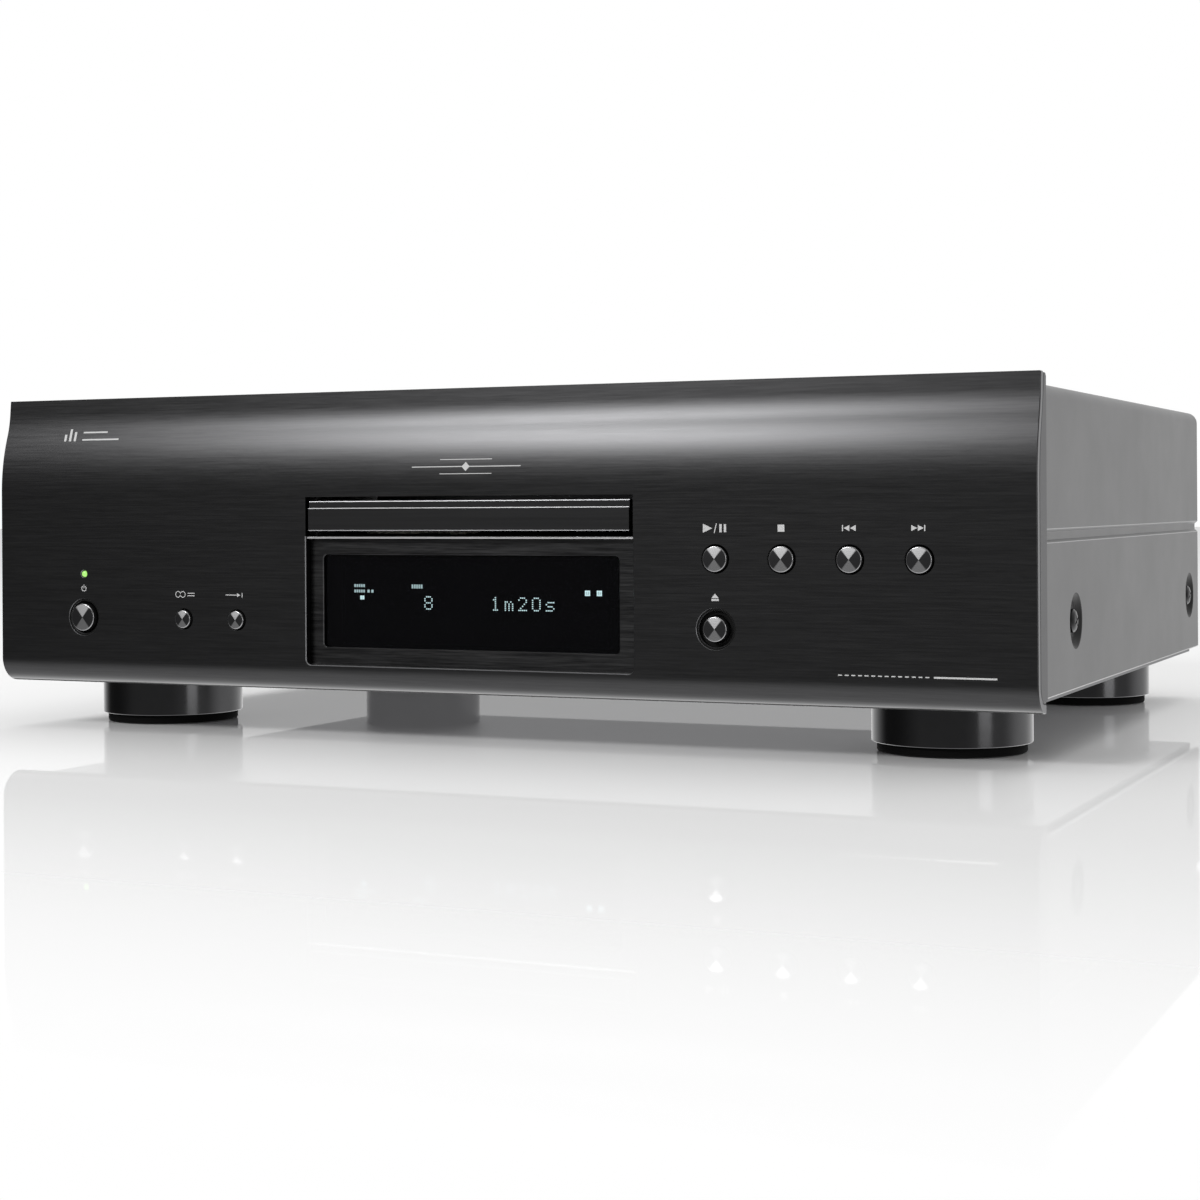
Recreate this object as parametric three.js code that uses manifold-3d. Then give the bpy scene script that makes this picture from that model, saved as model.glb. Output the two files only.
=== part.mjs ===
// A full-width hi-fi disc player: curved metal fascia, sliding disc tray, sheet-metal case, loader and pickup.
// Millimetres, +Z up. X runs to the right seen from the front, Y runs from the front to the back.
// The origin is on the table, under the middle of the player.
import * as THREE from "three";
import { mergeVertices } from "three/addons/utils/BufferGeometryUtils.js";
import Module from "manifold-3d";

const wasm = await Module();
wasm.setup();

// ---------------------------------------------------------------- driving dimensions
const width = 434;
const depth = 329; // from the button tips to the tips of the rear jacks
const height = 135;
const gap = 0.3; // between pieces that touch
const round = 20; // sides of a middling round piece

const buttonProud = 1.2;
const front = -depth / 2 + buttonProud; // the flat part of the fascia
const fasciaBottom = 18.8;
const fasciaThick = 3.2;
const frameBack = front + 13.5; // back of the moulded frame, where the case begins

const caseBack = front + 318;
const caseHalf = 216;
const caseTop = 131.5;
const caseBottom = 23.2;
const sheet = 1.2;
const panBottom = 21;
const panHalf = 212.5;
const rearY = caseBack - 2.7; // front face of the rear panel
const rearOut = rearY + sheet; // its outer face
const jackTip = depth / 2;

const gridX = 25; // the controls stand 25 mm apart
const gridShift = 1.2; // and all but the power key this much further out
const upperRow = 71;
const lowerRow = 46;

const slotHalf = 69.3; // opening for the tray door and the display
const slotTop = 94.2;
const slotBottom = 78.9;
const bezelBottom = 29.2;
const windowHalf = 62.5;
const windowLow = 36.7;
const windowHigh = 71.8;

const footX = 171.5;
const footFrontY = front + 56.5;
const footRearY = front + 276.3;
const footRadius = 29.3;
const padRadius = 27.3;
const padHigh = 3.4;

const screwZ = 47.8;
const screwYs = { front: front + 61.9, rear: front + 295.8 };

// the loader: tray, turntable and pickup
const discY = -84; // disc centre with the tray shut
const discRadius = 60.75;
const trayTop = 87.8;
const trayFloor = 84.4;
const trayUnder = 82.4;
const trayHalf = 64.5;
const hingeY = 20; // the traverse tilts about this line
const hingeZ = 72;
const spindleReach = hingeY - discY;
const spindleDrop = 8; // how far the turntable stands below the disc at rest
const lowered = Math.asin(spindleDrop / spindleReach);
const loadY = -129; // line of the loading gears

// ---------------------------------------------------------------- materials
const finish = (color, roughness, metalness) =>
  new THREE.MeshStandardMaterial({ color, roughness, metalness });
const anodised = finish(0x1d1d1e, 0.38, 0.85);
const paintedSteel = finish(0x3a3a3b, 0.5, 0.3);
const blackPlastic = finish(0x141415, 0.45, 0);
const darkPlastic = finish(0x232325, 0.6, 0);
const spunMetal = finish(0x8d8d8f, 0.25, 1);
const darkChrome = finish(0x2c2c2e, 0.18, 0.9);
const rubber = finish(0x0d0d0d, 0.85, 0);
const zincSteel = finish(0xa8aaac, 0.35, 0.9);
const smokedAcrylic = finish(0x050505, 0.08, 0);
const boardGreen = finish(0x1f4a2c, 0.55, 0);
const gold = finish(0xc9a24a, 0.25, 1);
const copper = finish(0x9a5a2c, 0.4, 0.7);
const acetal = finish(0xe6e2d6, 0.5, 0);
const greenLight = finish(0x8fe04a, 0.3, 0);
const lensGlass = finish(0x6a7fb0, 0.05, 0);

// ---------------------------------------------------------------- solid helpers
function solidOf(geometry) {
  const bare = geometry.index ? geometry.toNonIndexed() : geometry.clone();
  bare.deleteAttribute("normal");
  bare.deleteAttribute("uv");
  const merged = mergeVertices(bare, 1e-4);
  return new wasm.Manifold(
    new wasm.Mesh({
      numProp: 3,
      vertProperties: merged.attributes.position.array,
      triVerts: new Uint32Array(merged.index.array),
    }),
  );
}

function geometryOf(solid) {
  const mesh = solid.getMesh();
  const geometry = new THREE.BufferGeometry();
  geometry.setAttribute("position", new THREE.BufferAttribute(new Float32Array(mesh.vertProperties), 3));
  geometry.setIndex(new THREE.BufferAttribute(new Uint32Array(mesh.triVerts), 1));
  return geometry;
}

const join = (first, ...others) => others.reduce((whole, next) => whole.add(next), first);
const cut = (first, ...others) => others.reduce((whole, next) => whole.subtract(next), first);

function box(x0, x1, y0, y1, z0, z1) {
  const geometry = new THREE.BoxGeometry(x1 - x0, y1 - y0, z1 - z0);
  return solidOf(geometry.translate((x0 + x1) / 2, (y0 + y1) / 2, (z0 + z1) / 2));
}

const axes = {
  x: new THREE.Matrix4().makeBasis(...["y", "z", "x"].map(unit)),
  y: new THREE.Matrix4().makeBasis(...["z", "x", "y"].map(unit)),
  z: new THREE.Matrix4(),
};

function unit(name) {
  return new THREE.Vector3(name === "x" ? 1 : 0, name === "y" ? 1 : 0, name === "z" ? 1 : 0);
}

// An outline pushed along an axis. Its points are (y, z) for x, (z, x) for y and (x, y) for z.
function prism(points, axis, from, to) {
  const shape = new THREE.Shape(points.map(([u, v]) => new THREE.Vector2(u, v)));
  const geometry = new THREE.ExtrudeGeometry(shape, { depth: to - from, bevelEnabled: false });
  return solidOf(geometry.translate(0, 0, from).applyMatrix4(axes[axis]));
}

// A turned piece: the profile is a list of (radius, place along the axis), and (u, v) is where the axis stands.
function turned(profile, axis, u, v, segments = 24) {
  const points = profile.map(([r, h]) => new THREE.Vector2(r, h));
  const geometry = new THREE.LatheGeometry(points, segments).rotateX(Math.PI / 2);
  const solid = solidOf(geometry.translate(u, v, 0).applyMatrix4(axes[axis]));
  return solid;
}

const rod = (radius, axis, u, v, from, to, segments = 16) =>
  turned([[0, from], [radius, from], [radius, to], [0, to]], axis, u, v, segments);

const arc = (cu, cv, radius, fromDegrees, toDegrees, steps) =>
  Array.from({ length: steps + 1 }, (_, i) => {
    const a = THREE.MathUtils.degToRad(fromDegrees + ((toDegrees - fromDegrees) * i) / steps);
    return [cu + radius * Math.cos(a), cv + radius * Math.sin(a)];
  });

function roundedRectangle(u0, u1, v0, v1, radius, steps = 3) {
  return [
    ...arc(u1 - radius, v1 - radius, radius, 0, 90, steps),
    ...arc(u0 + radius, v1 - radius, radius, 90, 180, steps),
    ...arc(u0 + radius, v0 + radius, radius, 180, 270, steps),
    ...arc(u1 - radius, v0 + radius, radius, 270, 360, steps),
  ];
}

// ---------------------------------------------------------------- gear teeth
const pressureAngle = THREE.MathUtils.degToRad(20);
const addendum = 0.8; // in modules, as the dedendum is
const dedendum = 1.1;
const backlash = 0.24; // taken off each tooth's width

// The outline of a spur gear about (0, 0), with a tooth centred on the angle `turn`. Each flank is a straight
// line between the points where an involute leaves its base circle and where it meets the tip circle.
function gearOutline(module, teeth, turn) {
  const pitch = (module * teeth) / 2;
  const base = pitch * Math.cos(pressureAngle);
  const rootRadius = pitch - dedendum * module;
  const tipRadius = pitch + addendum * module;
  const involute = (r) => Math.sqrt(Math.max((r / base) ** 2 - 1, 0)) - Math.acos(Math.min(base / r, 1));
  const half = Math.PI / (2 * teeth) - backlash / 2 / pitch + involute(pitch);
  const flank = [rootRadius, tipRadius];
  const points = [];
  for (let i = 0; i < teeth; i++) {
    const middle = turn + (2 * Math.PI * i) / teeth;
    points.push(...flank.map((r) => [r, middle - half + involute(Math.max(r, base))]));
    points.push(...flank.map((r) => [r, middle + half - involute(Math.max(r, base))]).reverse());
  }
  return points.map(([r, a]) => [r * Math.cos(a), r * Math.sin(a)]);
}

const spur = (module, teeth, turn, x, y, z0, z1) =>
  prism(gearOutline(module, teeth, turn).map(([u, v]) => [u + x, v + y]), "z", z0, z1);

// A rack along Y: its pitch line is at x = line, a gap between teeth is centred on y = gapY, and `side` is the
// way that the teeth point.
function rack(module, line, side, backX, gapY, y0, y1, z0, z1) {
  const pitch = Math.PI * module;
  const slope = Math.tan(pressureAngle);
  const halfAtLine = pitch / 4 - backlash / 2;
  const tip = halfAtLine - addendum * module * slope;
  const root = halfAtLine + dedendum * module * slope;
  const rootX = line - side * dedendum * module;
  const tipX = line + side * addendum * module;
  const points = [[backX, y0], [rootX, y0]];
  const first = Math.ceil((y0 + root - gapY) / pitch - 0.5);
  for (let y = gapY + (first + 0.5) * pitch; y + root < y1; y += pitch)
    points.push([rootX, y - root], [tipX, y - tip], [tipX, y + tip], [rootX, y + root]);
  points.push([rootX, y1], [backX, y1]);
  return prism(points, "z", z0, z1);
}

// ---------------------------------------------------------------- the assembly
const player = new THREE.Group();
const traverse = new THREE.Group(); // everything that tilts down with the turntable
traverse.position.set(0, hingeY, hingeZ);
traverse.rotation.x = lowered;
player.add(traverse);

function add(name, solid, material, group = player) {
  const mesh = new THREE.Mesh(geometryOf(solid), material);
  mesh.name = name;
  group.add(mesh);
}

// ---------------------------------------------------------------- fascia and front frame
// The section of the fascia, from its top edge down: a steep lip, a hollow curve, a slope, a swelling curve into
// the flat face, and a round bottom edge. `inset` measures inwards from the outer skin.
const lipTilt = 5;
const slopeTilt = 16.5;
const lipEnd = 129.5;
const slopeTop = 125;
const slopeEnd = 119.5;
const flatTop = 97;
const bottomRound = 10;
const sine = (degrees) => Math.sin(THREE.MathUtils.degToRad(degrees));
const cosine = (degrees) => Math.cos(THREE.MathUtils.degToRad(degrees));

function fasciaSection(inset, top) {
  const swell = (slopeEnd - flatTop) / sine(slopeTilt);
  const hollow = (lipEnd - slopeTop) / (sine(slopeTilt) - sine(lipTilt));
  const slopeEndY = front + swell * (1 - cosine(slopeTilt));
  const slopeTopY = slopeEndY + ((slopeTop - slopeEnd) * sine(slopeTilt)) / cosine(slopeTilt);
  const lipEndY = slopeTopY + hollow * (cosine(lipTilt) - cosine(slopeTilt));
  const lean = (tilt) => [inset * cosine(tilt), -inset * sine(tilt)];
  const points = [];
  const place = (y, z, tilt) => points.push([y + lean(tilt)[0], z + lean(tilt)[1]]);
  points.push([lipEndY + (top - lipEnd) * (sine(lipTilt) / cosine(lipTilt)) + inset / cosine(lipTilt), top]);
  for (const t of [0, 0.5, 1]) {
    const tilt = lipTilt + (slopeTilt - lipTilt) * t;
    const rise = hollow * (sine(tilt) - sine(lipTilt));
    place(lipEndY - hollow * (cosine(lipTilt) - cosine(tilt)), lipEnd - rise, tilt);
  }
  for (const t of [0, 0.25, 0.5, 0.75, 1]) {
    const tilt = slopeTilt * (1 - t);
    place(front + swell * (1 - cosine(tilt)), flatTop + swell * sine(tilt), tilt);
  }
  const radius = bottomRound - inset;
  const round = arc(front + bottomRound, fasciaBottom + bottomRound, radius, 180, 270, 6);
  return [...points, ...round];
}

const fasciaTuck = 1.4; // how far the fascia runs on under the frame
const outerSection = fasciaSection(0, height);
const innerSection = fasciaSection(fasciaThick, height);
const fasciaBlank = prism(
  [
    ...outerSection,
    [front + bottomRound + fasciaTuck, fasciaBottom],
    [front + bottomRound + fasciaTuck, fasciaBottom + fasciaThick],
    ...innerSection.reverse(),
  ],
  "x",
  -width / 2,
  width / 2,
);

// Each control: place, cap radius, hole radius, and the wide counterbore of the two main ones.
const mainRecess = 7.5;
const recessDeep = 2.2;
const holeClear = 0.4;
const controls = {
  power_button: { x: -7 * gridX, z: lowerRow, cap: 5.5, recessed: true },
  layer_button: { x: -5 * gridX - gridShift, z: lowerRow, cap: 3.55 },
  direct_button: { x: -4 * gridX - gridShift, z: lowerRow, cap: 3.55 },
  play_button: { x: 4 * gridX + gridShift, z: upperRow, cap: 4.6 },
  stop_button: { x: 5 * gridX + gridShift, z: upperRow, cap: 4.6 },
  previous_button: { x: 6 * gridX + gridShift, z: upperRow, cap: 4.6 },
  next_button: { x: 7 * gridX + gridShift, z: upperRow, cap: 4.6 },
  eject_button: { x: 4 * gridX + gridShift, z: lowerRow, cap: 4.5, recessed: true },
};
const lightZ = lowerRow + 17.6;
const lightRadius = 1.2;

const behindFascia = front + fasciaThick + 1;
const controlHoles = Object.values(controls).flatMap(({ x, z, cap, recessed }) => {
  const hole = rod(cap + holeClear, "y", z, x, front - 1, behindFascia, round);
  return recessed ? [hole, rod(mainRecess, "y", z, x, front - 1, front + recessDeep, round)] : [hole];
});
const frontOpening = prism(
  [
    [slotTop, -slotHalf],
    [slotTop, slotHalf],
    ...arc(bezelBottom + 2.5, slotHalf - 2.5, 2.5, 90, 180, 3),
    ...arc(bezelBottom + 2.5, -slotHalf + 2.5, 2.5, 180, 270, 3),
  ],
  "y",
  front - 1,
  behindFascia,
);
const lightHole = rod(lightRadius + gap, "y", lightZ, controls.power_button.x, front - 1, behindFascia, 12);
add("front_panel", cut(fasciaBlank, frontOpening, lightHole, ...controlHoles), anodised);

// The moulded frame behind the fascia: a deep rim, and a web that carries the controls.
const rimHalf = 204;
const rimLow = 33;
const rimHigh = 116;
const webFront = front + 10.3;
const webBack = webFront + 2.5;
const frameTop = height - 0.4;
const frameSection = fasciaSection(fasciaThick + gap, frameTop);
const frameBlank = prism(
  [
    [frameBack, frameTop - 1],
    [frameBack - 1, frameTop],
    ...frameSection,
    [front + bottomRound + 0.6, fasciaBottom + fasciaThick + gap],
    [frameBack, fasciaBottom + fasciaThick + 1.2],
  ],
  "x",
  -width / 2,
  width / 2,
);
const frameWell = join(
  box(-rimHalf, rimHalf, front - 1, webFront, rimLow, rimHigh),
  box(-rimHalf, rimHalf, webBack, frameBack + 1, rimLow, rimHigh),
  box(-windowHalf - 10, windowHalf + 10, front - 1, webFront, bezelBottom - 2.4, rimLow + 1),
);
const stemHoles = Object.values(controls).map(({ x, z }) =>
  box(x - 4, x + 4, webFront - 1, webBack + 1, z - 4, z + 4),
);
const trayPassage = box(-70.5, 70.5, webFront - 1, frameBack + 1, slotBottom - 1, slotTop + 1.2);
const displayPassage = box(-59, 59, webFront - 1, webBack + 1, 37, 71.5);
const lightPassage = rod(1.8, "y", lightZ, controls.power_button.x, webFront - 1, webBack + 1, 12);
add(
  "front_frame",
  cut(frameBlank, frameWell, trayPassage, displayPassage, lightPassage, ...stemHoles),
  darkPlastic,
);

// The sunk plate round the display, with a thin shelf along its top, and the window behind it.
const bezelFace = front + fasciaThick + gap;
const bezelBack = bezelFace + 1.2;
const bezelPlate = box(-windowHalf - 8.5, windowHalf + 8.5, bezelFace, bezelBack, bezelBottom - 0.6, slotBottom);
const bezelHole = prism(
  roundedRectangle(windowLow, windowHigh, -windowHalf, windowHalf, 1.6),
  "y",
  bezelFace - 1,
  bezelBack + 1,
);
const shelfHalf = slotHalf - gap;
const bezelShelf = box(-shelfHalf, shelfHalf, front + 0.6, front + 8, slotBottom - 0.8, slotBottom);
add("window_bezel", join(cut(bezelPlate, bezelHole), bezelShelf), anodised);

const windowFront = bezelBack + gap;
const windowBack = windowFront + 2;
add("display_window", box(-66, 66, windowFront, windowBack, 33, 76.5), smokedAcrylic);

const glassFront = windowBack + 0.6;
const displayGlass = box(-56, 56, glassFront, glassFront + 3, 38, 70);
const displayCan = box(-54, 54, glassFront + 2.5, webBack + 1, 40, 68);
const displayTip = rod(1.6, "x", glassFront + 3.4, 54, 53, 58, 10);
add("display_module", join(displayGlass, displayCan, displayTip), smokedAcrylic);

// The control board stands behind the frame and carries one switch for each button.
const boardFront = frameBack + 1.5;
const boardThick = 1.6;
const switchTip = boardFront - 4.3;
const switches = Object.values(controls).flatMap(({ x, z }) => [
  box(x - 3, x + 3, switchTip + 0.9, boardFront + 0.5, z - 3, z + 3),
  rod(1.7, "y", z, x, switchTip, switchTip + 1.5, 10),
]);
add(
  "front_board",
  join(box(-206, 206, boardFront, boardFront + boardThick, 34, 77), ...switches),
  boardGreen,
);

const lightX = controls.power_button.x;
const lightBody = rod(lightRadius, "y", lightZ, lightX, front - 0.2, boardFront - gap, 12);
const lightCollar = rod(2.4, "y", lightZ, lightX, front + fasciaThick + gap, front + 5, 12);
add("status_light", join(lightBody, lightCollar), greenLight);

// ---------------------------------------------------------------- push buttons
// A turned cap with a shallow cone face, a collar that stops behind the fascia, and a stem for its switch.
const buttonTravel = 1;
const collarFront = front + fasciaThick + gap;
const stemEnd = switchTip - buttonTravel - 0.2;
for (const [name, { x, z, cap }] of Object.entries(controls)) {
  const tip = front - buttonProud;
  const button = turned(
    [
      [0, tip + 0.25],
      [cap - 0.5, tip],
      [cap, tip + 0.5],
      [cap, collarFront],
      [cap + 1, collarFront],
      [cap + 1, collarFront + 1.2],
      [1.7, stemEnd],
      [0, stemEnd],
    ],
    "y",
    z,
    x,
    round,
  );
  add(name, button, spunMetal);
}

// ---------------------------------------------------------------- case
// The cover is one sheet folded over the top and down both sides, with a groove and two dimples in each side.
const cornerRound = 5;
const grooveHigh = 81.2;
const grooveLow = 76.6;
const grooveDeep = 1.3;

function coverSection(inset) {
  const x = caseHalf - inset;
  const top = caseTop - inset;
  const r = cornerRound - inset;
  const edge = inset ? 0.35 : 0;
  const side = [
    [x, caseBottom - (inset ? 1 : 0)],
    [x, grooveLow - edge],
    [x - grooveDeep, grooveLow + 1 - edge],
    [x - grooveDeep, grooveHigh - 1 + edge],
    [x, grooveHigh + edge],
    ...arc(x - r, top - r, r, 0, 90, 3),
  ];
  return [...side, ...side.map(([u, v]) => [-u, v]).reverse()];
}

const alongY = (points) => points.map(([x, z]) => [z, x]);
const dimpleRadius = 9.8;
const dimpleDeep = 2;
const coverFront = frameBack + gap;
const coverShell = cut(
  prism(alongY(coverSection(0)), "y", coverFront, caseBack),
  prism(alongY(coverSection(sheet)), "y", coverFront - 1, caseBack + 1),
);
const sides = { left: -1, right: 1 };
const dimples = Object.values(sides).flatMap((side) => Object.values(screwYs).map((y) => ({ side, y })));

// A turned piece whose axis points out of one side of the case.
const onSide = (profile, side, y, segments = 16) =>
  turned(
    side > 0 ? profile : profile.map(([r, h]) => [r, -h]).reverse(),
    "x",
    y,
    screwZ,
    segments,
  );
const dimpleFloor = caseHalf - dimpleDeep;
const dimpleBacks = dimples.map(({ side, y }) =>
  onSide(
    [[0, dimpleFloor - sheet], [8, dimpleFloor - sheet], [dimpleRadius + 0.6, caseHalf - sheet], [0, caseHalf - sheet + 0.4]],
    side,
    y,
  ),
);
const dimpleCuts = dimples.map(({ side, y }) =>
  onSide([[0, dimpleFloor], [7.6, dimpleFloor], [dimpleRadius, caseHalf + 0.01], [dimpleRadius, caseHalf + 1], [0, caseHalf + 1]], side, y),
);
const screwHoles = dimples.map(({ side, y }) =>
  onSide([[0, 200], [2.3, 200], [2.3, 220], [0, 220]], side, y, 8),
);
add("top_cover", cut(join(coverShell, ...dimpleBacks), ...dimpleCuts, ...screwHoles), paintedSteel);

for (const [sideName, side] of Object.entries(sides))
  for (const [end, y] of Object.entries(screwYs)) {
    const seat = dimpleFloor + gap;
    const head = [[0, 203], [1.7, 203], [1.9, seat], [4.4, seat], [4.4, seat + 0.9], [3.2, seat + 1.9], [0, seat + 2.1]];
    const slotEnds = [side * (seat + 1), side * (seat + 3)].sort((a, b) => a - b);
    const slot = box(...slotEnds, y - 0.5, y + 0.5, screwZ - 5, screwZ + 5);
    add(`side_screw_${sideName}_${end}`, cut(onSide(head, side, y, 12), slot), zincSteel);
  }

// The pan: a floor with both sides folded up, with clearance holes for the side screws.
const panFront = frameBack + gap;
const panBack = rearY - gap;
const panWall = 60;
const panInner = panHalf - sheet;
const panBlank = box(-panHalf, panHalf, panFront, panBack, panBottom, panWall);
const panInside = box(-panInner, panInner, panFront - 1, panBack + 1, panBottom + sheet, panWall + 1);
add("base_pan", cut(panBlank, panInside, ...screwHoles), zincSteel);

// ---------------------------------------------------------------- feet
const footTop = panBottom - gap;
for (const [sideName, side] of Object.entries(sides))
  for (const [end, y] of Object.entries({ front: footFrontY, rear: footRearY })) {
    const x = side * footX;
    const shell = [
      [0, padHigh + gap],
      [footRadius - 1.6, padHigh + gap],
      [footRadius, padHigh + 1.2],
      [footRadius, footTop],
      [0, footTop],
    ];
    const pad = [[0, 0], [padRadius - 0.6, 0], [padRadius, 0.6], [padRadius, padHigh], [0, padHigh]];
    add(`foot_${end}_${sideName}`, turned(shell, "z", x, y, 28), darkChrome);
    add(`foot_pad_${end}_${sideName}`, turned(pad, "z", x, y, 28), rubber);
  }

// ---------------------------------------------------------------- rear panel and sockets
const socketZ = 66;
const analogX = 152;
const jackPitch = 22;
const coaxialX = 100;
const opticalX = 70;
const remoteX = 34;
const inletX = -160;
const rearHalf = panHalf - sheet - gap;
const rearTop = caseTop - sheet - gap;
const panelHole = (x, halfW, halfH) => box(x - halfW, x + halfW, rearY - 2, rearOut + 2, socketZ - halfH, socketZ + halfH);
const neckGap = 0.4;
const rearSheet = join(
  box(-rearHalf, rearHalf, rearY, rearOut, caseBottom, rearTop),
  box(-rearHalf, rearHalf, rearY - 10, rearY + 0.2, rearTop - sheet, rearTop),
);
add(
  "rear_panel",
  cut(
    rearSheet,
    panelHole(analogX, 17 + neckGap, 7 + neckGap),
    panelHole(coaxialX, 6 + neckGap, 6 + neckGap),
    panelHole(opticalX, 6 + neckGap, 6 + neckGap),
    panelHole(remoteX, 13 + neckGap, 5 + neckGap),
    panelHole(inletX, 14 + neckGap, 10 + neckGap),
  ),
  paintedSteel,
);

const blockBack = rearOut + gap;
// A socket body: a box inside the case, a neck through the sheet, and a plate outside it.
const socketBody = (x, halfW, halfH, plate, plateThick, reach = 15) =>
  join(
    box(x - halfW, x + halfW, rearY - reach, blockBack + 0.5, socketZ - halfH, socketZ + halfH),
    box(x - halfW - plate, x + halfW + plate, blockBack, blockBack + plateThick, socketZ - halfH - plate, socketZ + halfH + plate),
  );
// A phono jack: collar, sleeve, and the hole for the plug's pin.
const phonoJack = (x) =>
  cut(
    turned(
      [[0, blockBack + 1], [5.6, blockBack + 1], [5.6, blockBack + 3], [4.15, blockBack + 3.4], [4.15, jackTip], [0, jackTip]],
      "y",
      socketZ,
      x,
      16,
    ),
    rod(1.6, "y", socketZ, x, jackTip - 7, jackTip + 1, 8),
  );
add(
  "analog_output_block",
  join(socketBody(analogX, 17, 7, 2, 1.6), phonoJack(analogX - jackPitch / 2), phonoJack(analogX + jackPitch / 2)),
  gold,
);
add("coaxial_jack", join(socketBody(coaxialX, 6, 6, 1.6, 1.6), phonoJack(coaxialX)), gold);
add(
  "optical_jack",
  cut(
    socketBody(opticalX, 6, 6, 1.2, 3),
    box(opticalX - 4.2, opticalX + 4.2, blockBack - 0.4, blockBack + 4, socketZ - 4.2, socketZ + 4.2),
  ),
  blackPlastic,
);
const miniJack = (x) => rod(4, "y", socketZ, x, blockBack + 1, blockBack + 3.2, 14);
const miniJackHoles = [-7, 7].map((dx) => rod(1.8, "y", socketZ, remoteX + dx, blockBack - 8, blockBack + 4, 10));
add(
  "remote_jack_block",
  cut(join(socketBody(remoteX, 13, 5, 1.6, 1.4), miniJack(remoteX - 7), miniJack(remoteX + 7)), ...miniJackHoles),
  blackPlastic,
);

// The mains inlet: a flange, a well for the connector's nose and two blades in it.
const inletWellBack = rearY - 13.5;
const inletFlange = 3;
const inletBody = join(
  socketBody(inletX, 14, 10, 0, 1, 18),
  prism(
    roundedRectangle(socketZ - 14, socketZ + 14, inletX - 25, inletX + 25, 4),
    "y",
    blockBack,
    blockBack + inletFlange,
  ),
);
const inletWell = prism(
  [
    [socketZ - 8.2, inletX - 12.2],
    [socketZ - 8.2, inletX + 12.2],
    [socketZ + 4.2, inletX + 12.2],
    [socketZ + 8.2, inletX + 8.2],
    [socketZ + 8.2, inletX - 8.2],
    [socketZ + 4.2, inletX - 12.2],
  ],
  "y",
  inletWellBack,
  blockBack + inletFlange + 1,
);
const blades = [-7, 7].map((dx) =>
  box(inletX + dx - 1, inletX + dx + 1, inletWellBack - 1, inletWellBack + 14, socketZ - 3, socketZ + 1.5),
);
add("ac_inlet", join(cut(inletBody, inletWell), ...blades), blackPlastic);

// ---------------------------------------------------------------- power supply and audio electronics
const coreX = -150;
const coreY = -100;
const coreLow = panBottom + sheet + gap;
const coreHigh = coreLow + 60;
const coreWindow = (x0, x1) => box(coreX + x0, coreX + x1, coreY - 16, coreY + 16, coreLow + 12, coreHigh - 12);
add(
  "transformer_core",
  cut(box(coreX - 36, coreX + 36, coreY - 15, coreY + 15, coreLow, coreHigh), coreWindow(12, 24), coreWindow(-24, -12)),
  zincSteel,
);
add(
  "transformer_winding",
  cut(
    box(coreX - 23.6, coreX + 23.6, coreY - 27, coreY + 27, coreLow + 12.4, coreHigh - 12.4),
    box(coreX - 12.4, coreX + 12.4, coreY - 15.4, coreY + 15.4, coreLow, coreHigh),
  ),
  copper,
);

const boardZ = 30;
const boardTop = boardZ + boardThick;
const standoff = (x, y) => rod(3, "z", x, y, panBottom + sheet + gap, boardZ + 0.4, 8);
const capacitor = (x, y, radius, tall) => rod(radius, "z", x, y, boardTop - 0.4, boardTop + tall, 12);
add(
  "power_board",
  join(
    box(-205, -86, -60, 128, boardZ, boardTop),
    ...[-198, -93].flatMap((x) => [-52, 120].map((y) => standoff(x, y))),
    ...[0, 1, 2, 3].map((i) => capacitor(-180 + 26 * i, -30, 11, 36)),
    box(-190, -120, 20, 24, boardTop - 0.4, boardTop + 34),
    box(-150, -118, 60, 86, boardTop - 0.4, boardTop + 22),
  ),
  boardGreen,
);
add(
  "audio_board",
  join(
    box(86, 205, -60, 128, boardZ, boardTop),
    ...[93, 198].flatMap((x) => [-52, 120].map((y) => standoff(x, y))),
    ...[0, 1, 2, 3].flatMap((i) => [capacitor(104 + 26 * i, 40, 5, 14), capacitor(104 + 26 * i, 62, 5, 14)]),
    box(118, 132, -20, -6, boardTop - 0.4, boardTop + 2.4),
    box(158, 178, -24, -4, boardTop - 0.4, boardTop + 2.4),
    box(150, 162, 90, 100, boardTop - 0.4, boardTop + 9),
  ),
  boardGreen,
);

// ---------------------------------------------------------------- the traverse's front pin and its cam
const plateFront = -spindleReach - 18; // along the level traverse, from the hinge line
const pinMiddle = plateFront - 5;
const pinY = hingeY + pinMiddle * Math.cos(lowered);
const pinLowZ = hingeZ + pinMiddle * Math.sin(lowered) - 0.5 * Math.cos(lowered);
const pinRise = -pinMiddle * Math.sin(lowered);
const sliderTravel = 24;
const slotWide = 2.1; // half the slot's height
const sliderThick = 2.4;
const sliderY = pinY - sliderThick / 2;
const sliderLow = pinLowZ - 6;
const dwell = 4;

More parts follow.
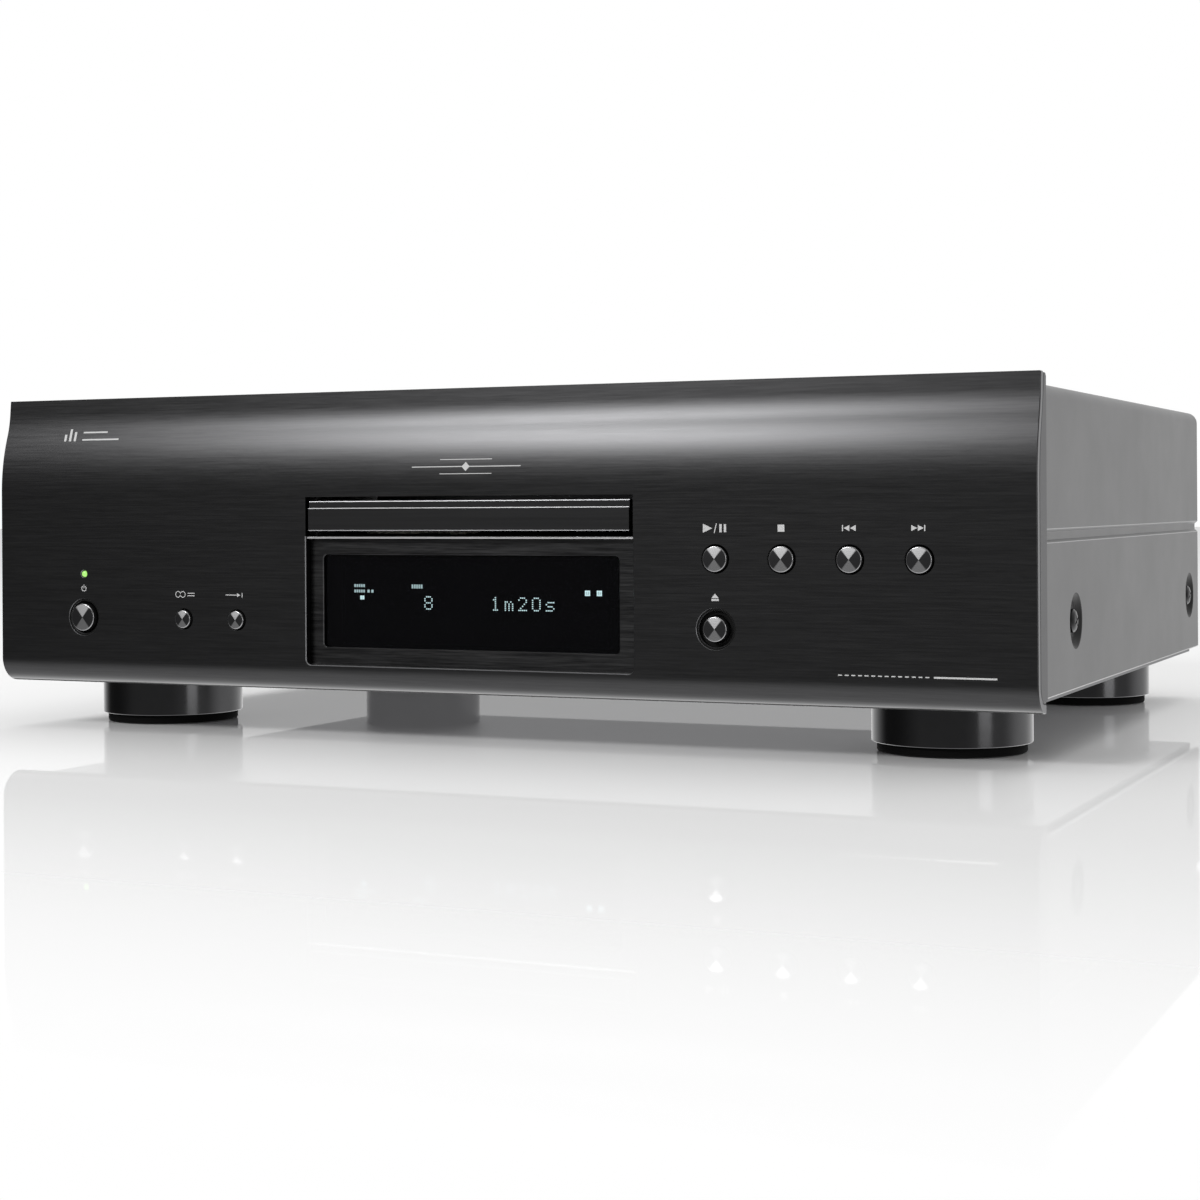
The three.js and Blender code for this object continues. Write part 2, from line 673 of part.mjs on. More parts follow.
// ---------------------------------------------------------------- loader frame
const wallIn = 70.5;
const wallOut = 73.5;
const loaderFront = boardFront + boardThick + 0.8;
const loaderBack = 62;
const loaderLow = 54;
const wallHigh = 92;
const ledgeIn = 65.2;
const tongueLow = 83.5;
const tongueHigh = 85.5;
const deckZ = 72.5; // top of the shelf that carries the loading gears
const gearLow = 79.7;
const gearHigh = 82.1;
const rackLine = -58.2;
const loadModule = 1.5;
const loadTeeth = 20;
const loadX = rackLine + (loadModule * loadTeeth) / 2;
const pulleyTeeth = 10;
const pulleyGearX = loadX + (loadModule * (loadTeeth + pulleyTeeth)) / 2;
const motorX = pulleyGearX + 31;
const earIn = 47;
const earOut = 51;
const loaderWalls = Object.values(sides).flatMap((side) => {
  const span = (a, b) => [side * a, side * b].sort((p, q) => p - q);
  return [
    box(...span(wallIn, wallOut), loaderFront, loaderBack, loaderLow, wallHigh),
    box(...span(ledgeIn, wallIn + 0.5), loaderFront, 40, tongueLow - 2.4, tongueLow - gap),
    box(...span(ledgeIn, wallIn + 0.5), loaderFront, 40, tongueHigh + gap, tongueHigh + 2),
    box(...span(earIn, earOut), hingeY - 5, loaderBack, hingeZ - 14, hingeZ + 4.6),
    rod(4.5, "z", side * (wallOut + 1), loaderFront + 6, panBottom + sheet + gap, loaderLow + 6, 12),
    rod(4.5, "z", side * (wallOut + 1), loaderBack - 8, panBottom + sheet + gap, loaderLow + 6, 12),
  ];
});
const loaderFrame = join(
  ...loaderWalls,
  box(-wallOut, wallOut, loaderFront, loaderFront + 2.5, loaderLow, deckZ),
  box(-wallOut, wallOut, loaderBack - 3, loaderBack, loaderLow, 80),
  box(-wallOut, motorX + 14, loaderFront, loadY + 17, deckZ - 2.5, deckZ),
  rod(3, "z", loadX, loadY, deckZ - 1, gearLow - gap, 12),
  rod(1.4, "z", loadX, loadY, deckZ - 1, gearHigh + 0.1, 10),
  box(-wallOut, wallOut, hingeY + 14, hingeY + 17, loaderLow, hingeZ - 14.5),
  box(-wallOut, wallOut, sliderY - 2.8, sliderY + sliderThick + 2.8, 51.5, sliderLow - gap),
  box(-wallOut, wallOut, sliderY - 2.8, sliderY - gap, 52, sliderLow + 2.4),
  box(-wallOut, wallOut, sliderY + sliderThick + gap, sliderY + sliderThick + 2.8, 52, sliderLow + 2.4),
);
const trunnionBores = rod(2.4, "x", hingeY, hingeZ, -60, 60, 16);
const deckHoles = [rod(2.6, "z", pulleyGearX, loadY, deckZ - 4, deckZ + 1, 12), rod(4.6, "z", motorX, loadY, deckZ - 4, deckZ + 1, 16)];
add("loader_frame", cut(loaderFrame, trunnionBores, ...deckHoles), blackPlastic);

// ---------------------------------------------------------------- tray
const doorHalf = 67.85;
const doorLow = 81.1;
const doorHigh = 92.5;
const doorFace = front - 0.3;
const doorBack = front + 3;
add(
  "tray_door",
  prism(
    [
      [doorBack, doorLow],
      [doorFace + 0.3, doorLow],
      [doorFace, doorLow + 0.3],
      [doorFace, 89.6],
      [doorFace + 0.4, 89.9],
      [doorFace + 0.8, doorHigh - 0.3],
      [doorFace + 1.1, doorHigh],
      [doorBack, doorHigh],
    ],
    "x",
    -doorHalf,
    doorHalf,
  ),
  anodised,
);

const trayFront = doorBack + gap;
const trayBack = 2;
const armBack = 38;
const tonguehalf = 67;
const trayBlank = join(
  box(-trayHalf, trayHalf, trayFront, trayBack, trayUnder, trayTop),
  box(-trayHalf, -trayHalf + 7.5, trayBack - 1, armBack, trayUnder, tongueHigh),
  box(trayHalf - 7.5, trayHalf, trayBack - 1, armBack, trayUnder, tongueHigh),
  box(-tonguehalf, -trayHalf + 1, frameBack + 3, armBack, tongueLow, tongueHigh),
  box(trayHalf - 1, tonguehalf, frameBack + 3, armBack, tongueLow, tongueHigh),
);
const discWell = rod(discRadius, "z", 0, discY, trayFloor, trayTop + 1, 48);
const smallDiscWell = rod(40.6, "z", 0, discY, trayFloor - 0.8, trayTop, 32);
const spindleHole = rod(21.4, "z", 0, discY, trayUnder - 1, trayTop, round);
const pickupSlot = box(-21, 21, discY, trayBack + 1, trayUnder - 1, trayTop + 1);
const fingerNotches = [-1, 1].map((side) => rod(9, "z", side * 52, trayFront + 32, trayFloor, trayTop + 1, 12));
const rackBack = -trayHalf + 1;
const rackSpan = [loadY - 8, loadY + 152];
const trayRack = rack(loadModule, rackLine, 1, rackBack, loadY, ...rackSpan, trayUnder - 2.6, trayUnder + 0.5);
const rackClear = box(-trayHalf - 5, rackBack, -200, 60, trayUnder - 4, trayUnder - 0.01);
add(
  "disc_tray",
  join(cut(trayBlank, discWell, smallDiscWell, spindleHole, pickupSlot, ...fingerNotches), cut(trayRack, rackClear)),
  blackPlastic,
);

// ---------------------------------------------------------------- loading gears, belt and motor
// The loading gear has a tooth pointing at the rack's gap, and a gap facing the pinion on the far side.
const boreClear = 1.4 + gap;
const loadTurn = Math.PI;
const pinionGapTurn = Math.PI + Math.PI / pulleyTeeth;
add(
  "loading_gear",
  cut(
    spur(loadModule, loadTeeth, loadTurn, loadX, loadY, gearLow, gearHigh - 0.2),
    rod(boreClear, "z", loadX, loadY, 70, 90, 10),
  ),
  acetal,
);
const pulleyRadius = 14;
const motorPulleyRadius = 3.6;
const beltLow = deckZ + 1.4;
const beltHigh = beltLow + 2;
const grooved = (radius, x, from, to) =>
  turned(
    [
      [0, from],
      [radius + 1.2, from],
      [radius + 1.2, from + 0.6],
      [radius, beltLow - 0.2],
      [radius, beltHigh + 0.2],
      [radius + 1.2, to - 0.6],
      [radius + 1.2, to],
      [0, to],
    ],
    "z",
    x,
    loadY,
    round,
  );
add(
  "pulley_gear",
  join(
    grooved(pulleyRadius, pulleyGearX, deckZ + 0.4, deckZ + 4.6),
    rod(3.2, "z", pulleyGearX, loadY, deckZ + 4, gearLow + 0.2, 12),
    spur(loadModule, pulleyTeeth, pinionGapTurn, pulleyGearX, loadY, gearLow, gearHigh - 0.2),
    rod(1.9, "z", pulleyGearX, loadY, deckZ - 3.4, deckZ + 1, 12),
  ),
  acetal,
);
add(
  "motor_pulley",
  cut(grooved(motorPulleyRadius, motorX, deckZ + 0.4, deckZ + 4.6), rod(1.1, "z", motorX, loadY, deckZ - 1, deckZ + 3.6, 10)),
  gold,
);
// The belt runs round both pulleys along their outer tangents.
function beltLoop(out) {
  const big = pulleyRadius + out;
  const small = motorPulleyRadius + out;
  const lean = THREE.MathUtils.radToDeg(Math.acos((big - small) / (motorX - pulleyGearX)));
  return [
    ...arc(pulleyGearX, loadY, big, lean, 360 - lean, 16),
    ...arc(motorX, loadY, small, -lean, lean, 6),
  ];
}
add("loading_belt", cut(prism(beltLoop(1.1), "z", beltLow, beltHigh), prism(beltLoop(gap), "z", beltLow - 1, beltHigh + 1)), rubber);
add(
  "loading_motor",
  join(
    rod(10, "z", motorX, loadY, deckZ - 21, deckZ - 2.8, 20),
    rod(3, "z", motorX, loadY, deckZ - 3, deckZ - 0.4, 12),
    rod(0.8, "z", motorX, loadY, deckZ - 1, deckZ + 3.2, 10),
  ),
  zincSteel,
);

// ---------------------------------------------------------------- clamp
const bridgeLow = wallHigh + gap;
const bridgeHigh = bridgeLow + 2;
add(
  "clamp_bridge",
  cut(
    join(
      box(-wallOut, wallOut, discY - 17, discY + 17, bridgeLow, bridgeHigh),
      box(-wallOut, wallOut, discY - 17, discY - 15.5, bridgeLow, bridgeHigh + 3),
      box(-wallOut, wallOut, discY + 15.5, discY + 17, bridgeLow, bridgeHigh + 3),
    ),
    rod(12.4, "z", 0, discY, bridgeLow - 1, bridgeHigh + 1, round),
  ),
  zincSteel,
);
add(
  "clamp_puck",
  turned(
    [
      [0, 90.2],
      [8, 90.2],
      [8.4, 89],
      [15, 89],
      [15, 91.4],
      [11, 91.6],
      [11, bridgeHigh + 0.4],
      [14.5, bridgeHigh + 0.4],
      [14.5, bridgeHigh + 2.4],
      [0, bridgeHigh + 2.4],
    ],
    "z",
    0,
    discY,
    round,
  ),
  blackPlastic,
);

// ---------------------------------------------------------------- traverse, in its own frame
// Its origin is the middle of the hinge line. Heights are measured from that line with the traverse level.
const spindleY = -spindleReach;
const plateLow = -2.5;
const plateHigh = 0;
const plateHalf = 44;
const pinReach = 8;
const rodX = 20;
const rodZ = 4.6;
const rodRadius = 1.5;
const rodFront = spindleY + 16.6;
const rodBack = -20;
const feedModule = 1;
const feedTeeth = 24;
const feedPinionTeeth = 12;
const feedY = -62;
const sledRackLine = -28.6;
const feedX = sledRackLine - (feedModule * feedPinionTeeth) / 2;
const feedMotorY = feedY + (feedModule * (feedTeeth + feedPinionTeeth)) / 2;
const wheelLow = plateHigh + 0.5;
const wheelHigh = plateHigh + 2;
const rackLow = plateHigh + 4;
const rackHigh = plateHigh + 6;

const rodHolders = [-rodX, rodX].flatMap((x) =>
  [rodFront, rodBack].map((y) => box(x - 3.5, x + 3.5, y - 2, y + 2, plateHigh - 0.5, rodZ + 3)),
);
const rodBores = [-rodX, rodX].map((x) => rod(rodRadius + gap, "y", rodZ, x, rodFront - 3, rodBack + 3, 12));
const trunnions = [-1, 1].map((side) => {
  const ends = [side * (plateHalf - 1), side * (earOut - 0.4)].sort((a, b) => a - b);
  return rod(2, "x", 0, 0, ...ends, 16);
});
const traverseArms = [-1, 1].map((side) => {
  const ends = [side * (plateHalf - 6), side * plateHalf].sort((a, b) => a - b);
  return box(...ends, -6, 3, plateLow, 3);
});
const cornerPosts = rod(2.8, "z", feedX, feedY, plateHigh - 0.5, wheelLow - gap, 12);
const feedAxle = rod(1, "z", feedX, feedY, plateHigh - 0.5, rackHigh + 0.2, 10);
add(
  "traverse_frame",
  cut(
    join(
      box(-plateHalf, plateHalf, plateFront, -3, plateLow, plateHigh),
      ...traverseArms,
      ...trunnions,
      ...rodHolders,
      cornerPosts,
      feedAxle,
      box(-6, 6, plateFront - 0.5, plateFront + 3, plateLow, plateHigh + 1.5),
      rod(1.5, "y", -0.5, 0, plateFront - pinReach, plateFront + 1, 12),
    ),
    ...rodBores,
    box(-13, 13, spindleY + 22, -26, plateLow - 1, plateHigh + 1),
    rod(4, "z", feedX, feedMotorY, plateLow - 1, plateHigh + 1, 12),
  ),
  darkPlastic,
  traverse,
);
for (const [name, x] of Object.entries({ guide_rod_left: -rodX, guide_rod_right: rodX }))
  add(name, rod(rodRadius, "y", rodZ, x, rodFront - 3, rodBack + 3, 12), zincSteel, traverse);

add(
  "spindle_motor",
  turned(
    [
      [0, plateHigh + gap],
      [14, plateHigh + gap],
      [14, 8],
      [12.5, 9.2],
      [1.2, 9.2],
      [1.2, 10.2],
      [0, 10.2],
    ],
    "z",
    0,
    spindleY,
    round,
  ),
  zincSteel,
  traverse,
);
add(
  "turntable",
  turned(
    [[0, 10.5], [5, 10.5], [5, 12.5], [15, 12.5], [15, 15.5], [7.4, 15.5], [7.1, 16.4], [5.4, 17.4], [0, 17.4]],
    "z",
    0,
    spindleY,
    round,
  ),
  blackPlastic,
  traverse,
);

const sledY = spindleY + 31; // the lens line sits a little ahead of the sled's middle
const lensY = spindleY + 25;
const sledLow = 2.6;
const sledBody = join(
  box(-25.5, 24.5, sledY - 11, sledY + 13, sledLow, 7.6),
  box(-11, 11, lensY - 8, lensY + 10, 7, 11.6),
  rack(feedModule, sledRackLine, -1, -25, feedY, feedY - 41, feedY + 5, rackLow, rackHigh),
);
const sledBores = [
  rod(rodRadius + gap, "y", rodZ, -rodX, sledY - 20, sledY + 20, 12),
  box(rodX - rodRadius - gap, 30, sledY - 20, sledY + 20, rodZ - rodRadius - gap, rodZ + rodRadius + gap),
];
const lensWell = rod(4.2, "z", 0, lensY, 9, 13, 16);
add("pickup_sled", cut(sledBody, ...sledBores, lensWell), zincSteel, traverse);
add(
  "objective_lens",
  turned([[0, 10], [3.6, 10], [3.6, 11.8], [2.6, 12.2], [2, 12.9], [0, 13.3]], "z", 0, lensY, 16),
  lensGlass,
  traverse,
);

const axleClear = 1 + gap;
const feedPinionTurn = -Math.PI / 2 + Math.PI / feedPinionTeeth;
add(
  "feed_gear",
  cut(
    join(
      spur(feedModule, feedTeeth, Math.PI / 2, feedX, feedY, wheelLow, wheelHigh),
      rod(4, "z", feedX, feedY, wheelHigh - 0.2, rackLow + 0.2, 12),
      spur(feedModule, feedPinionTeeth, 0, feedX, feedY, rackLow, rackHigh),
    ),
    rod(axleClear, "z", feedX, feedY, -2, 10, 10),
  ),
  acetal,
  traverse,
);
add(
  "feed_pinion",
  cut(
    spur(feedModule, feedPinionTeeth, feedPinionTurn, feedX, feedMotorY, wheelLow, wheelHigh),
    rod(0.8 + gap, "z", feedX, feedMotorY, -1, 1.7, 10),
  ),
  gold,
  traverse,
);
add(
  "feed_motor",
  join(
    rod(8, "z", feedX, feedMotorY, plateLow - 18, plateLow - gap, 20),
    rod(2.4, "z", feedX, feedMotorY, plateLow - 1, plateHigh - 0.4, 12),
    rod(0.8, "z", feedX, feedMotorY, -1, 1.4, 10),
  ),
  zincSteel,
  traverse,
);

// ---------------------------------------------------------------- cam slider
// A plate that slides sideways in front of the traverse. Its slanted slot lifts the traverse's front pin.
const slotOutline = [
  [pinLowZ - slotWide, -dwell],
  [pinLowZ - slotWide, 0.5],
  [pinLowZ + pinRise - slotWide, sliderTravel + 0.5],
  [pinLowZ + pinRise - slotWide, sliderTravel + dwell],
  [pinLowZ + pinRise + slotWide, sliderTravel + dwell],
  [pinLowZ + pinRise + slotWide, sliderTravel - 0.5],
  [pinLowZ + slotWide, -0.5],
  [pinLowZ + slotWide, -dwell],
];
add(
  "cam_slider",
  cut(
    box(-14, 40, sliderY, sliderY + sliderThick, sliderLow, pinLowZ + pinRise + 4.6),
    prism(slotOutline, "y", sliderY - 1, sliderY + sliderThick + 1),
  ),
  acetal,
);

export default player;
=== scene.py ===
import math
import bmesh
import bpy
import numpy as np
from mathutils import Matrix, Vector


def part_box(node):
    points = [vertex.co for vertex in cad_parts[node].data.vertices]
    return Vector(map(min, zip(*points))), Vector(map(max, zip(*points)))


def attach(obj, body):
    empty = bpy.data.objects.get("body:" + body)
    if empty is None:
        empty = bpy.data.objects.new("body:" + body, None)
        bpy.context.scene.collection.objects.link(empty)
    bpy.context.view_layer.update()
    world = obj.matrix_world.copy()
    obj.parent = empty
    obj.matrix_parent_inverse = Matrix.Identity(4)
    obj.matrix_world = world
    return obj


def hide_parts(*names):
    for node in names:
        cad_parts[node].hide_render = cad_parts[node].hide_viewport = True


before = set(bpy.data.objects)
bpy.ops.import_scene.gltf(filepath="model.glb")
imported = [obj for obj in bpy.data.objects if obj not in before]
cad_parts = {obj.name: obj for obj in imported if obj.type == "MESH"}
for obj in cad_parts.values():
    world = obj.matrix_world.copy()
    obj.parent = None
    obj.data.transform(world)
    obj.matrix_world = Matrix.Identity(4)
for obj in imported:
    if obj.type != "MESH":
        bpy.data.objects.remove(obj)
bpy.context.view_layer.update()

mm = 0.001


def span(node):
    # lowest and highest corner of a frame node, as two arrays
    low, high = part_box(node)
    return np.array(low), np.array(high)


panelLow, panelHigh = span("front_panel")
face = panelLow[1]  # the flat front of the player stands at this y


# ---- shader helpers
class Value:
    # one output of a node; sums and products of values add Math nodes
    def __init__(self, maker, socket):
        self.maker, self.socket = maker, socket

    def maths(self, operation, first, second=0.0):
        return self.maker.node("ShaderNodeMath", {"operation": operation}, {0: first, 1: second})

    def __add__(self, other):
        return self.maths("ADD", self, other)

    def __radd__(self, other):
        return self.maths("ADD", other, self)

    def __sub__(self, other):
        return self.maths("SUBTRACT", self, other)

    def __rsub__(self, other):
        return self.maths("SUBTRACT", other, self)

    def __mul__(self, other):
        return self.maths("MULTIPLY", self, other)

    def __rmul__(self, other):
        return self.maths("MULTIPLY", other, self)

    def __truediv__(self, other):
        return self.maths("DIVIDE", self, other)

    def __pow__(self, other):
        return self.maths("POWER", self, other)


class Finish:
    # one material; node() makes any node from its type, its settings and what goes into its sockets
    def __init__(self, name):
        self.material = bpy.data.materials.new(name)
        self.material.use_nodes = True
        self.tree = self.material.node_tree
        self.tree.nodes.clear()

    def node(self, kind, settings=None, inputs=None, output=0):
        made = self.tree.nodes.new(kind)
        for key, value in (settings or {}).items():
            if key == "stops":
                ramp = made.color_ramp
                while len(ramp.elements) < len(value):
                    ramp.elements.new(0.5)
                for element, (place, color) in zip(ramp.elements, value):
                    element.position, element.color = place, color
            else:
                setattr(made, key, value)
        for key, value in (inputs or {}).items():
            if isinstance(value, Value):
                self.tree.links.new(value.socket, made.inputs[key])
            else:
                made.inputs[key].default_value = value
        return Value(self, made.outputs[output] if len(made.outputs) else None)

    def place(self, scale=(1, 1, 1), shift=(0, 0, 0)):
        # object coordinates, moved and stretched
        where = self.node("ShaderNodeTexCoord", output="Object")
        return self.node("ShaderNodeMapping", {}, {"Vector": where, "Location": shift, "Scale": scale})

    def noise(self, scale, detail=3.0, stretch=(1, 1, 1), roughness=0.55):
        sockets = {"Vector": self.place(stretch), "Scale": scale, "Detail": detail, "Roughness": roughness}
        return self.node("ShaderNodeTexNoise", {"noise_dimensions": "3D"}, sockets)

    def blendColor(self, factor, first, second):
        sockets = {0: factor, 6: (*first, 1), 7: (*second, 1)}
        return self.node("ShaderNodeMix", {"data_type": "RGBA"}, sockets, output=2)

    def bump(self, height, strength, distance):
        sockets = {"Height": height, "Strength": strength, "Distance": distance}
        return self.node("ShaderNodeBump", {}, sockets)

    def close(self, **sockets):
        # the surface itself; sockets are named with underscores for their spaces
        named = {key.replace("_", " "): value for key, value in sockets.items()}
        color = named.get("Base Color")
        if color is not None and not isinstance(color, Value) and len(color) == 3:
            named["Base Color"] = (*color, 1)
        surface = self.node("ShaderNodeBsdfPrincipled", {}, named)
        self.node("ShaderNodeOutputMaterial", {}, {"Surface": surface})
        return self.material


# ---- finishes
brushing = {
    "dark": (0.036, 0.036, 0.037),
    "light": (0.045, 0.045, 0.046),
    "roughness": 0.32,
    "spread": 0.05,
    "along": 55.0,  # streaks per metre along the panel
    "across": 2100.0,  # and across it
}


def brushedMetal(name, dark, light, roughness, spread, along, across, bump=0.025):
    # streaks = long noise + shorter, finer noise; they change the colour, the gloss and the relief
    look = Finish(name)
    long = look.noise(1.0, 2.0, (along, 40.0, across), 0.5)
    fine = look.noise(1.0, 3.0, (along * 4, 60.0, across * 2.4), 0.6)
    streak = long * 0.6 + fine * 0.4
    level = look.node("ShaderNodeMapRange", {}, {"Value": streak, "From Min": 0.34, "From Max": 0.66})
    return look.close(
        Base_Color=look.blendColor(level, dark, light),
        Metallic=1.0,
        Roughness=roughness + (level - 0.5) * spread,
        Normal=look.bump(level, bump, 0.00004),
    )


def plainMetal(name, color, roughness, vary=0.06, grain=900.0, bump=0.03):
    look = Finish(name)
    cloud = look.noise(grain, 4.0)
    darker = tuple(c * 0.86 for c in color)
    return look.close(
        Base_Color=look.blendColor(cloud, darker, color),
        Metallic=1.0,
        Roughness=roughness + (cloud - 0.5) * vary,
        Normal=look.bump(cloud, bump, 0.00005),
    )


def moulded(name, color, roughness, grain=2600.0, bump=0.12, level=0.4):
    # plastic, rubber or paint: a fine stipple over slow patches of gloss
    look = Finish(name)
    stipple = look.noise(grain, 2.0)
    patch = look.noise(30.0, 3.0)
    lighter = tuple(min(1.0, c * 1.18 + 0.002) for c in color)
    return look.close(
        Base_Color=look.blendColor(patch, color, lighter),
        Roughness=roughness + (patch - 0.5) * 0.10,
        Normal=look.bump(stipple, bump, 0.00006),
        Specular_IOR_Level=level,
    )


# painted reflections on the button faces: a bright wedge above, a grey one below, dark at the sides
wedges = {
    "half": 0.66,  # half the angle of each wedge, radians
    "blur": 0.10,
    "side": (0.048, 0.048, 0.050),
    "upper": (0.92, 0.92, 0.93),
    "lower": (0.31, 0.31, 0.315),
    "rings": 31.0,  # radians of ring pattern per millimetre
}


def spunCapPaintedReflections(name, roughness, half, blur, side, upper, lower, rings):
    # the angle about the middle picks the wedges of painted reflection, bright above, grey below and dark at the
    # sides; the distance draws faint rings
    look = Finish(name)
    where = look.node("ShaderNodeUVMap", {"uv_map": "disc"})
    parts = look.node("ShaderNodeSeparateXYZ", {}, {0: where})
    u, v = parts, Value(look, parts.socket.node.outputs[1])
    turn = look.node("ShaderNodeMath", {"operation": "ARCTAN2"}, {0: u, 1: v})
    turn = look.node("ShaderNodeMath", {"operation": "ABSOLUTE"}, {0: turn})
    top = look.node("ShaderNodeMapRange", {"interpolation_type": "SMOOTHSTEP"},
                    {"Value": turn, "From Min": half + blur, "From Max": half - blur})
    low = look.node("ShaderNodeMapRange", {"interpolation_type": "SMOOTHSTEP"},
                    {"Value": turn, "From Min": math.pi - half - blur, "From Max": math.pi - half + blur})
    reach = look.node("ShaderNodeVectorMath", {"operation": "LENGTH"}, {0: where}, output=1)
    ring = look.node("ShaderNodeMath", {"operation": "SINE"}, {0: reach * rings}) * 0.5 + 0.5
    base = look.blendColor(top, side, upper)
    both = look.node("ShaderNodeMix", {"data_type": "RGBA"}, {0: low, 6: base, 7: (*lower, 1)}, output=2)
    return look.close(Base_Color=both, Metallic=1.0, Roughness=roughness + ring * 0.03,
                      Normal=look.bump(ring, 0.02, 0.00002))


def lampGlow(name, color, strength, base=(0.02, 0.02, 0.02)):
    look = Finish(name)
    cell = look.noise(1500.0, 2.0)
    return look.close(
        Base_Color=base,
        Roughness=0.3 + cell * 0.1,
        Emission_Color=look.blendColor(cell, color, tuple(min(1, c * 1.1) for c in color)),
        Emission_Strength=strength,
    )


def circuitGreen(name):
    look = Finish(name)
    tracks = look.node(
        "ShaderNodeTexBrick",
        {"offset": 0.37, "squash": 0.6},
        {"Vector": look.place((260, 260, 260)), "Scale": 1.0, "Mortar Size": 0.09, "Brick Width": 2.3},
        output="Fac",
    )
    return look.close(
        Base_Color=look.blendColor(tracks, (0.015, 0.085, 0.035), (0.03, 0.16, 0.06)),
        Roughness=0.35 + tracks * 0.15,
    )


def woundCopper(name):
    look = Finish(name)
    turns = look.node(
        "ShaderNodeTexWave",
        {"wave_type": "BANDS", "bands_direction": "Z"},
        {"Vector": look.place(), "Scale": 420.0, "Distortion": 0.6},
        output="Fac",
    )
    return look.close(
        Base_Color=look.blendColor(turns, (0.22, 0.07, 0.02), (0.55, 0.22, 0.07)),
        Metallic=0.7,
        Roughness=0.35,
        Normal=look.bump(turns, 0.5, 0.0003),
    )


fasciaMetal = brushedMetal("fascia_metal", **brushing)
doorMetal = brushedMetal("door_metal", (0.038, 0.038, 0.039), (0.042, 0.042, 0.043), 0.34, 0.03, 9.0, 900.0, 0.02)
bezelMetal = brushedMetal("bezel_metal", (0.024, 0.024, 0.025), (0.056, 0.056, 0.057), 0.34, 0.10, 40.0, 1300.0)
# the fascia's ends: the black metal painted lighter, a painted reflection of the bright side
endPaintedReflection = plainMetal("end_painted_reflection", (0.20, 0.20, 0.205), 0.5)
cutEdge = plainMetal("cut_edge", (0.42, 0.42, 0.43), 0.38)
dimEdge = plainMetal("dim_edge", (0.15, 0.15, 0.155), 0.4)
brightEdge = plainMetal("bright_edge", (0.85, 0.85, 0.86), 0.34)
spunMetalPaintedReflections = spunCapPaintedReflections("spun_metal", 0.30, **wedges)
capRim = plainMetal("cap_rim", (0.30, 0.30, 0.305), 0.25)
footMetal = plainMetal("foot_metal", (0.07, 0.07, 0.072), 0.15, 0.04, 300.0, 0.01)
# a lighter copy of the cover paint for the hem and the groove's lips: painted highlight lines
paintedEdgeHighlight = moulded("painted_edge_highlight", (0.15, 0.15, 0.152), 0.3, 1900.0, 0.02, 1.0)
coverPaint = moulded("cover_paint", (0.036, 0.036, 0.037), 0.38, 1900.0, 0.06, 0.6)
# the cover paint made darker for the cones of the screw dimples: painted shade
dimpleShade = moulded("dimple_shade", (0.006, 0.006, 0.006), 0.5, 1900.0, 0.06, 0.2)
panSteel = plainMetal("pan_steel", (0.14, 0.14, 0.145), 0.42)
framePlastic = moulded("frame_plastic", (0.050, 0.050, 0.052), 0.5, 2600.0, 0.1, 0.4)
blackPlastic = moulded("black_plastic", (0.014, 0.014, 0.015), 0.42)
# near black: the display module's own colour, and painted shade on hole walls, the fascia's underside, button shanks
# and the sheet behind the door gap
deepBlack = moulded("deep_black", (0.004, 0.004, 0.004), 0.7, 2600.0, 0.05, 0.1)
socketPlastic = moulded("socket_plastic", (0.012, 0.012, 0.012), 0.3)
footRubber = moulded("foot_rubber", (0.004, 0.004, 0.004), 0.8, 1500.0, 0.2, 0.02)
screwSteel = plainMetal("screw_steel", (0.035, 0.035, 0.036), 0.30)
platedSteel = plainMetal("plated_steel", (0.55, 0.56, 0.58), 0.34, 0.12, 120.0, 0.06)
goldPlate = plainMetal("gold_plate", (0.78, 0.55, 0.2), 0.2)
whiteAcetal = moulded("white_acetal", (0.74, 0.71, 0.63), 0.45)
circuitBoard = circuitGreen("circuit_board")
windingCopper = woundCopper("winding")
lensGlass = moulded("lens_glass", (0.10, 0.16, 0.38), 0.06, 400.0, 0.01, 0.8)
whitePrint = moulded("white_print", (0.42, 0.42, 0.42), 0.6, 3000.0, 0.02, 0.2)
statusGreen = lampGlow("status_green", (0.42, 0.9, 0.18), 0.95)
displayGlow = lampGlow("display_glow", (0.66, 0.94, 1.0), 17.0)
displayDim = lampGlow("display_dim", (0.66, 0.94, 1.0), 10.0)


def smokedAcrylic():
    look = Finish("smoked_acrylic")
    haze = look.noise(60.0, 2.0)
    return look.close(
        Base_Color=(0.0015, 0.0015, 0.002), Roughness=0.03 + haze * 0.02, Alpha=0.78, Specular_IOR_Level=0.14
    )


windowAcrylic = smokedAcrylic()
print("finishes made")


# ---- mesh helpers
def gridFaces(rows, columns, closed=True):
    # four-sided faces between neighbouring lines of a grid; closed joins the last column to the first
    r, c = np.meshgrid(np.arange(rows - 1), np.arange(columns if closed else columns - 1), indexing="ij")
    d = (c + 1) % columns
    near, far = r * columns, (r + 1) * columns
    return np.stack([near + c, near + d, far + d, far + c], -1).reshape(-1, 4)


def skin(rings):
    # a closed surface through rings of equal length, with one flat face over each end
    rings = np.asarray(rings, float)
    rows, columns = rings.shape[:2]
    faces = gridFaces(rows, columns).tolist()
    faces.append(list(range(columns))[::-1])
    faces.append(list(range((rows - 1) * columns, rows * columns)))
    return rings.reshape(-1, 3), faces


def turned(profile, centre, axis="y", sides=64):
    # radius and place along the axis, carried round it: across = r cos a, up = r sin a
    profile = np.asarray(profile, float)
    a = np.arange(sides) * 2 * np.pi / sides
    radius, along = profile[:, :1], profile[:, 1:] + 0 * a
    first, second = radius * np.cos(a), radius * np.sin(a)
    order = {"x": (along, first, second), "y": (second, along, first), "z": (first, second, along)}[axis]
    rings = np.stack(order, -1) + np.asarray(centre, float)
    return skin(rings)


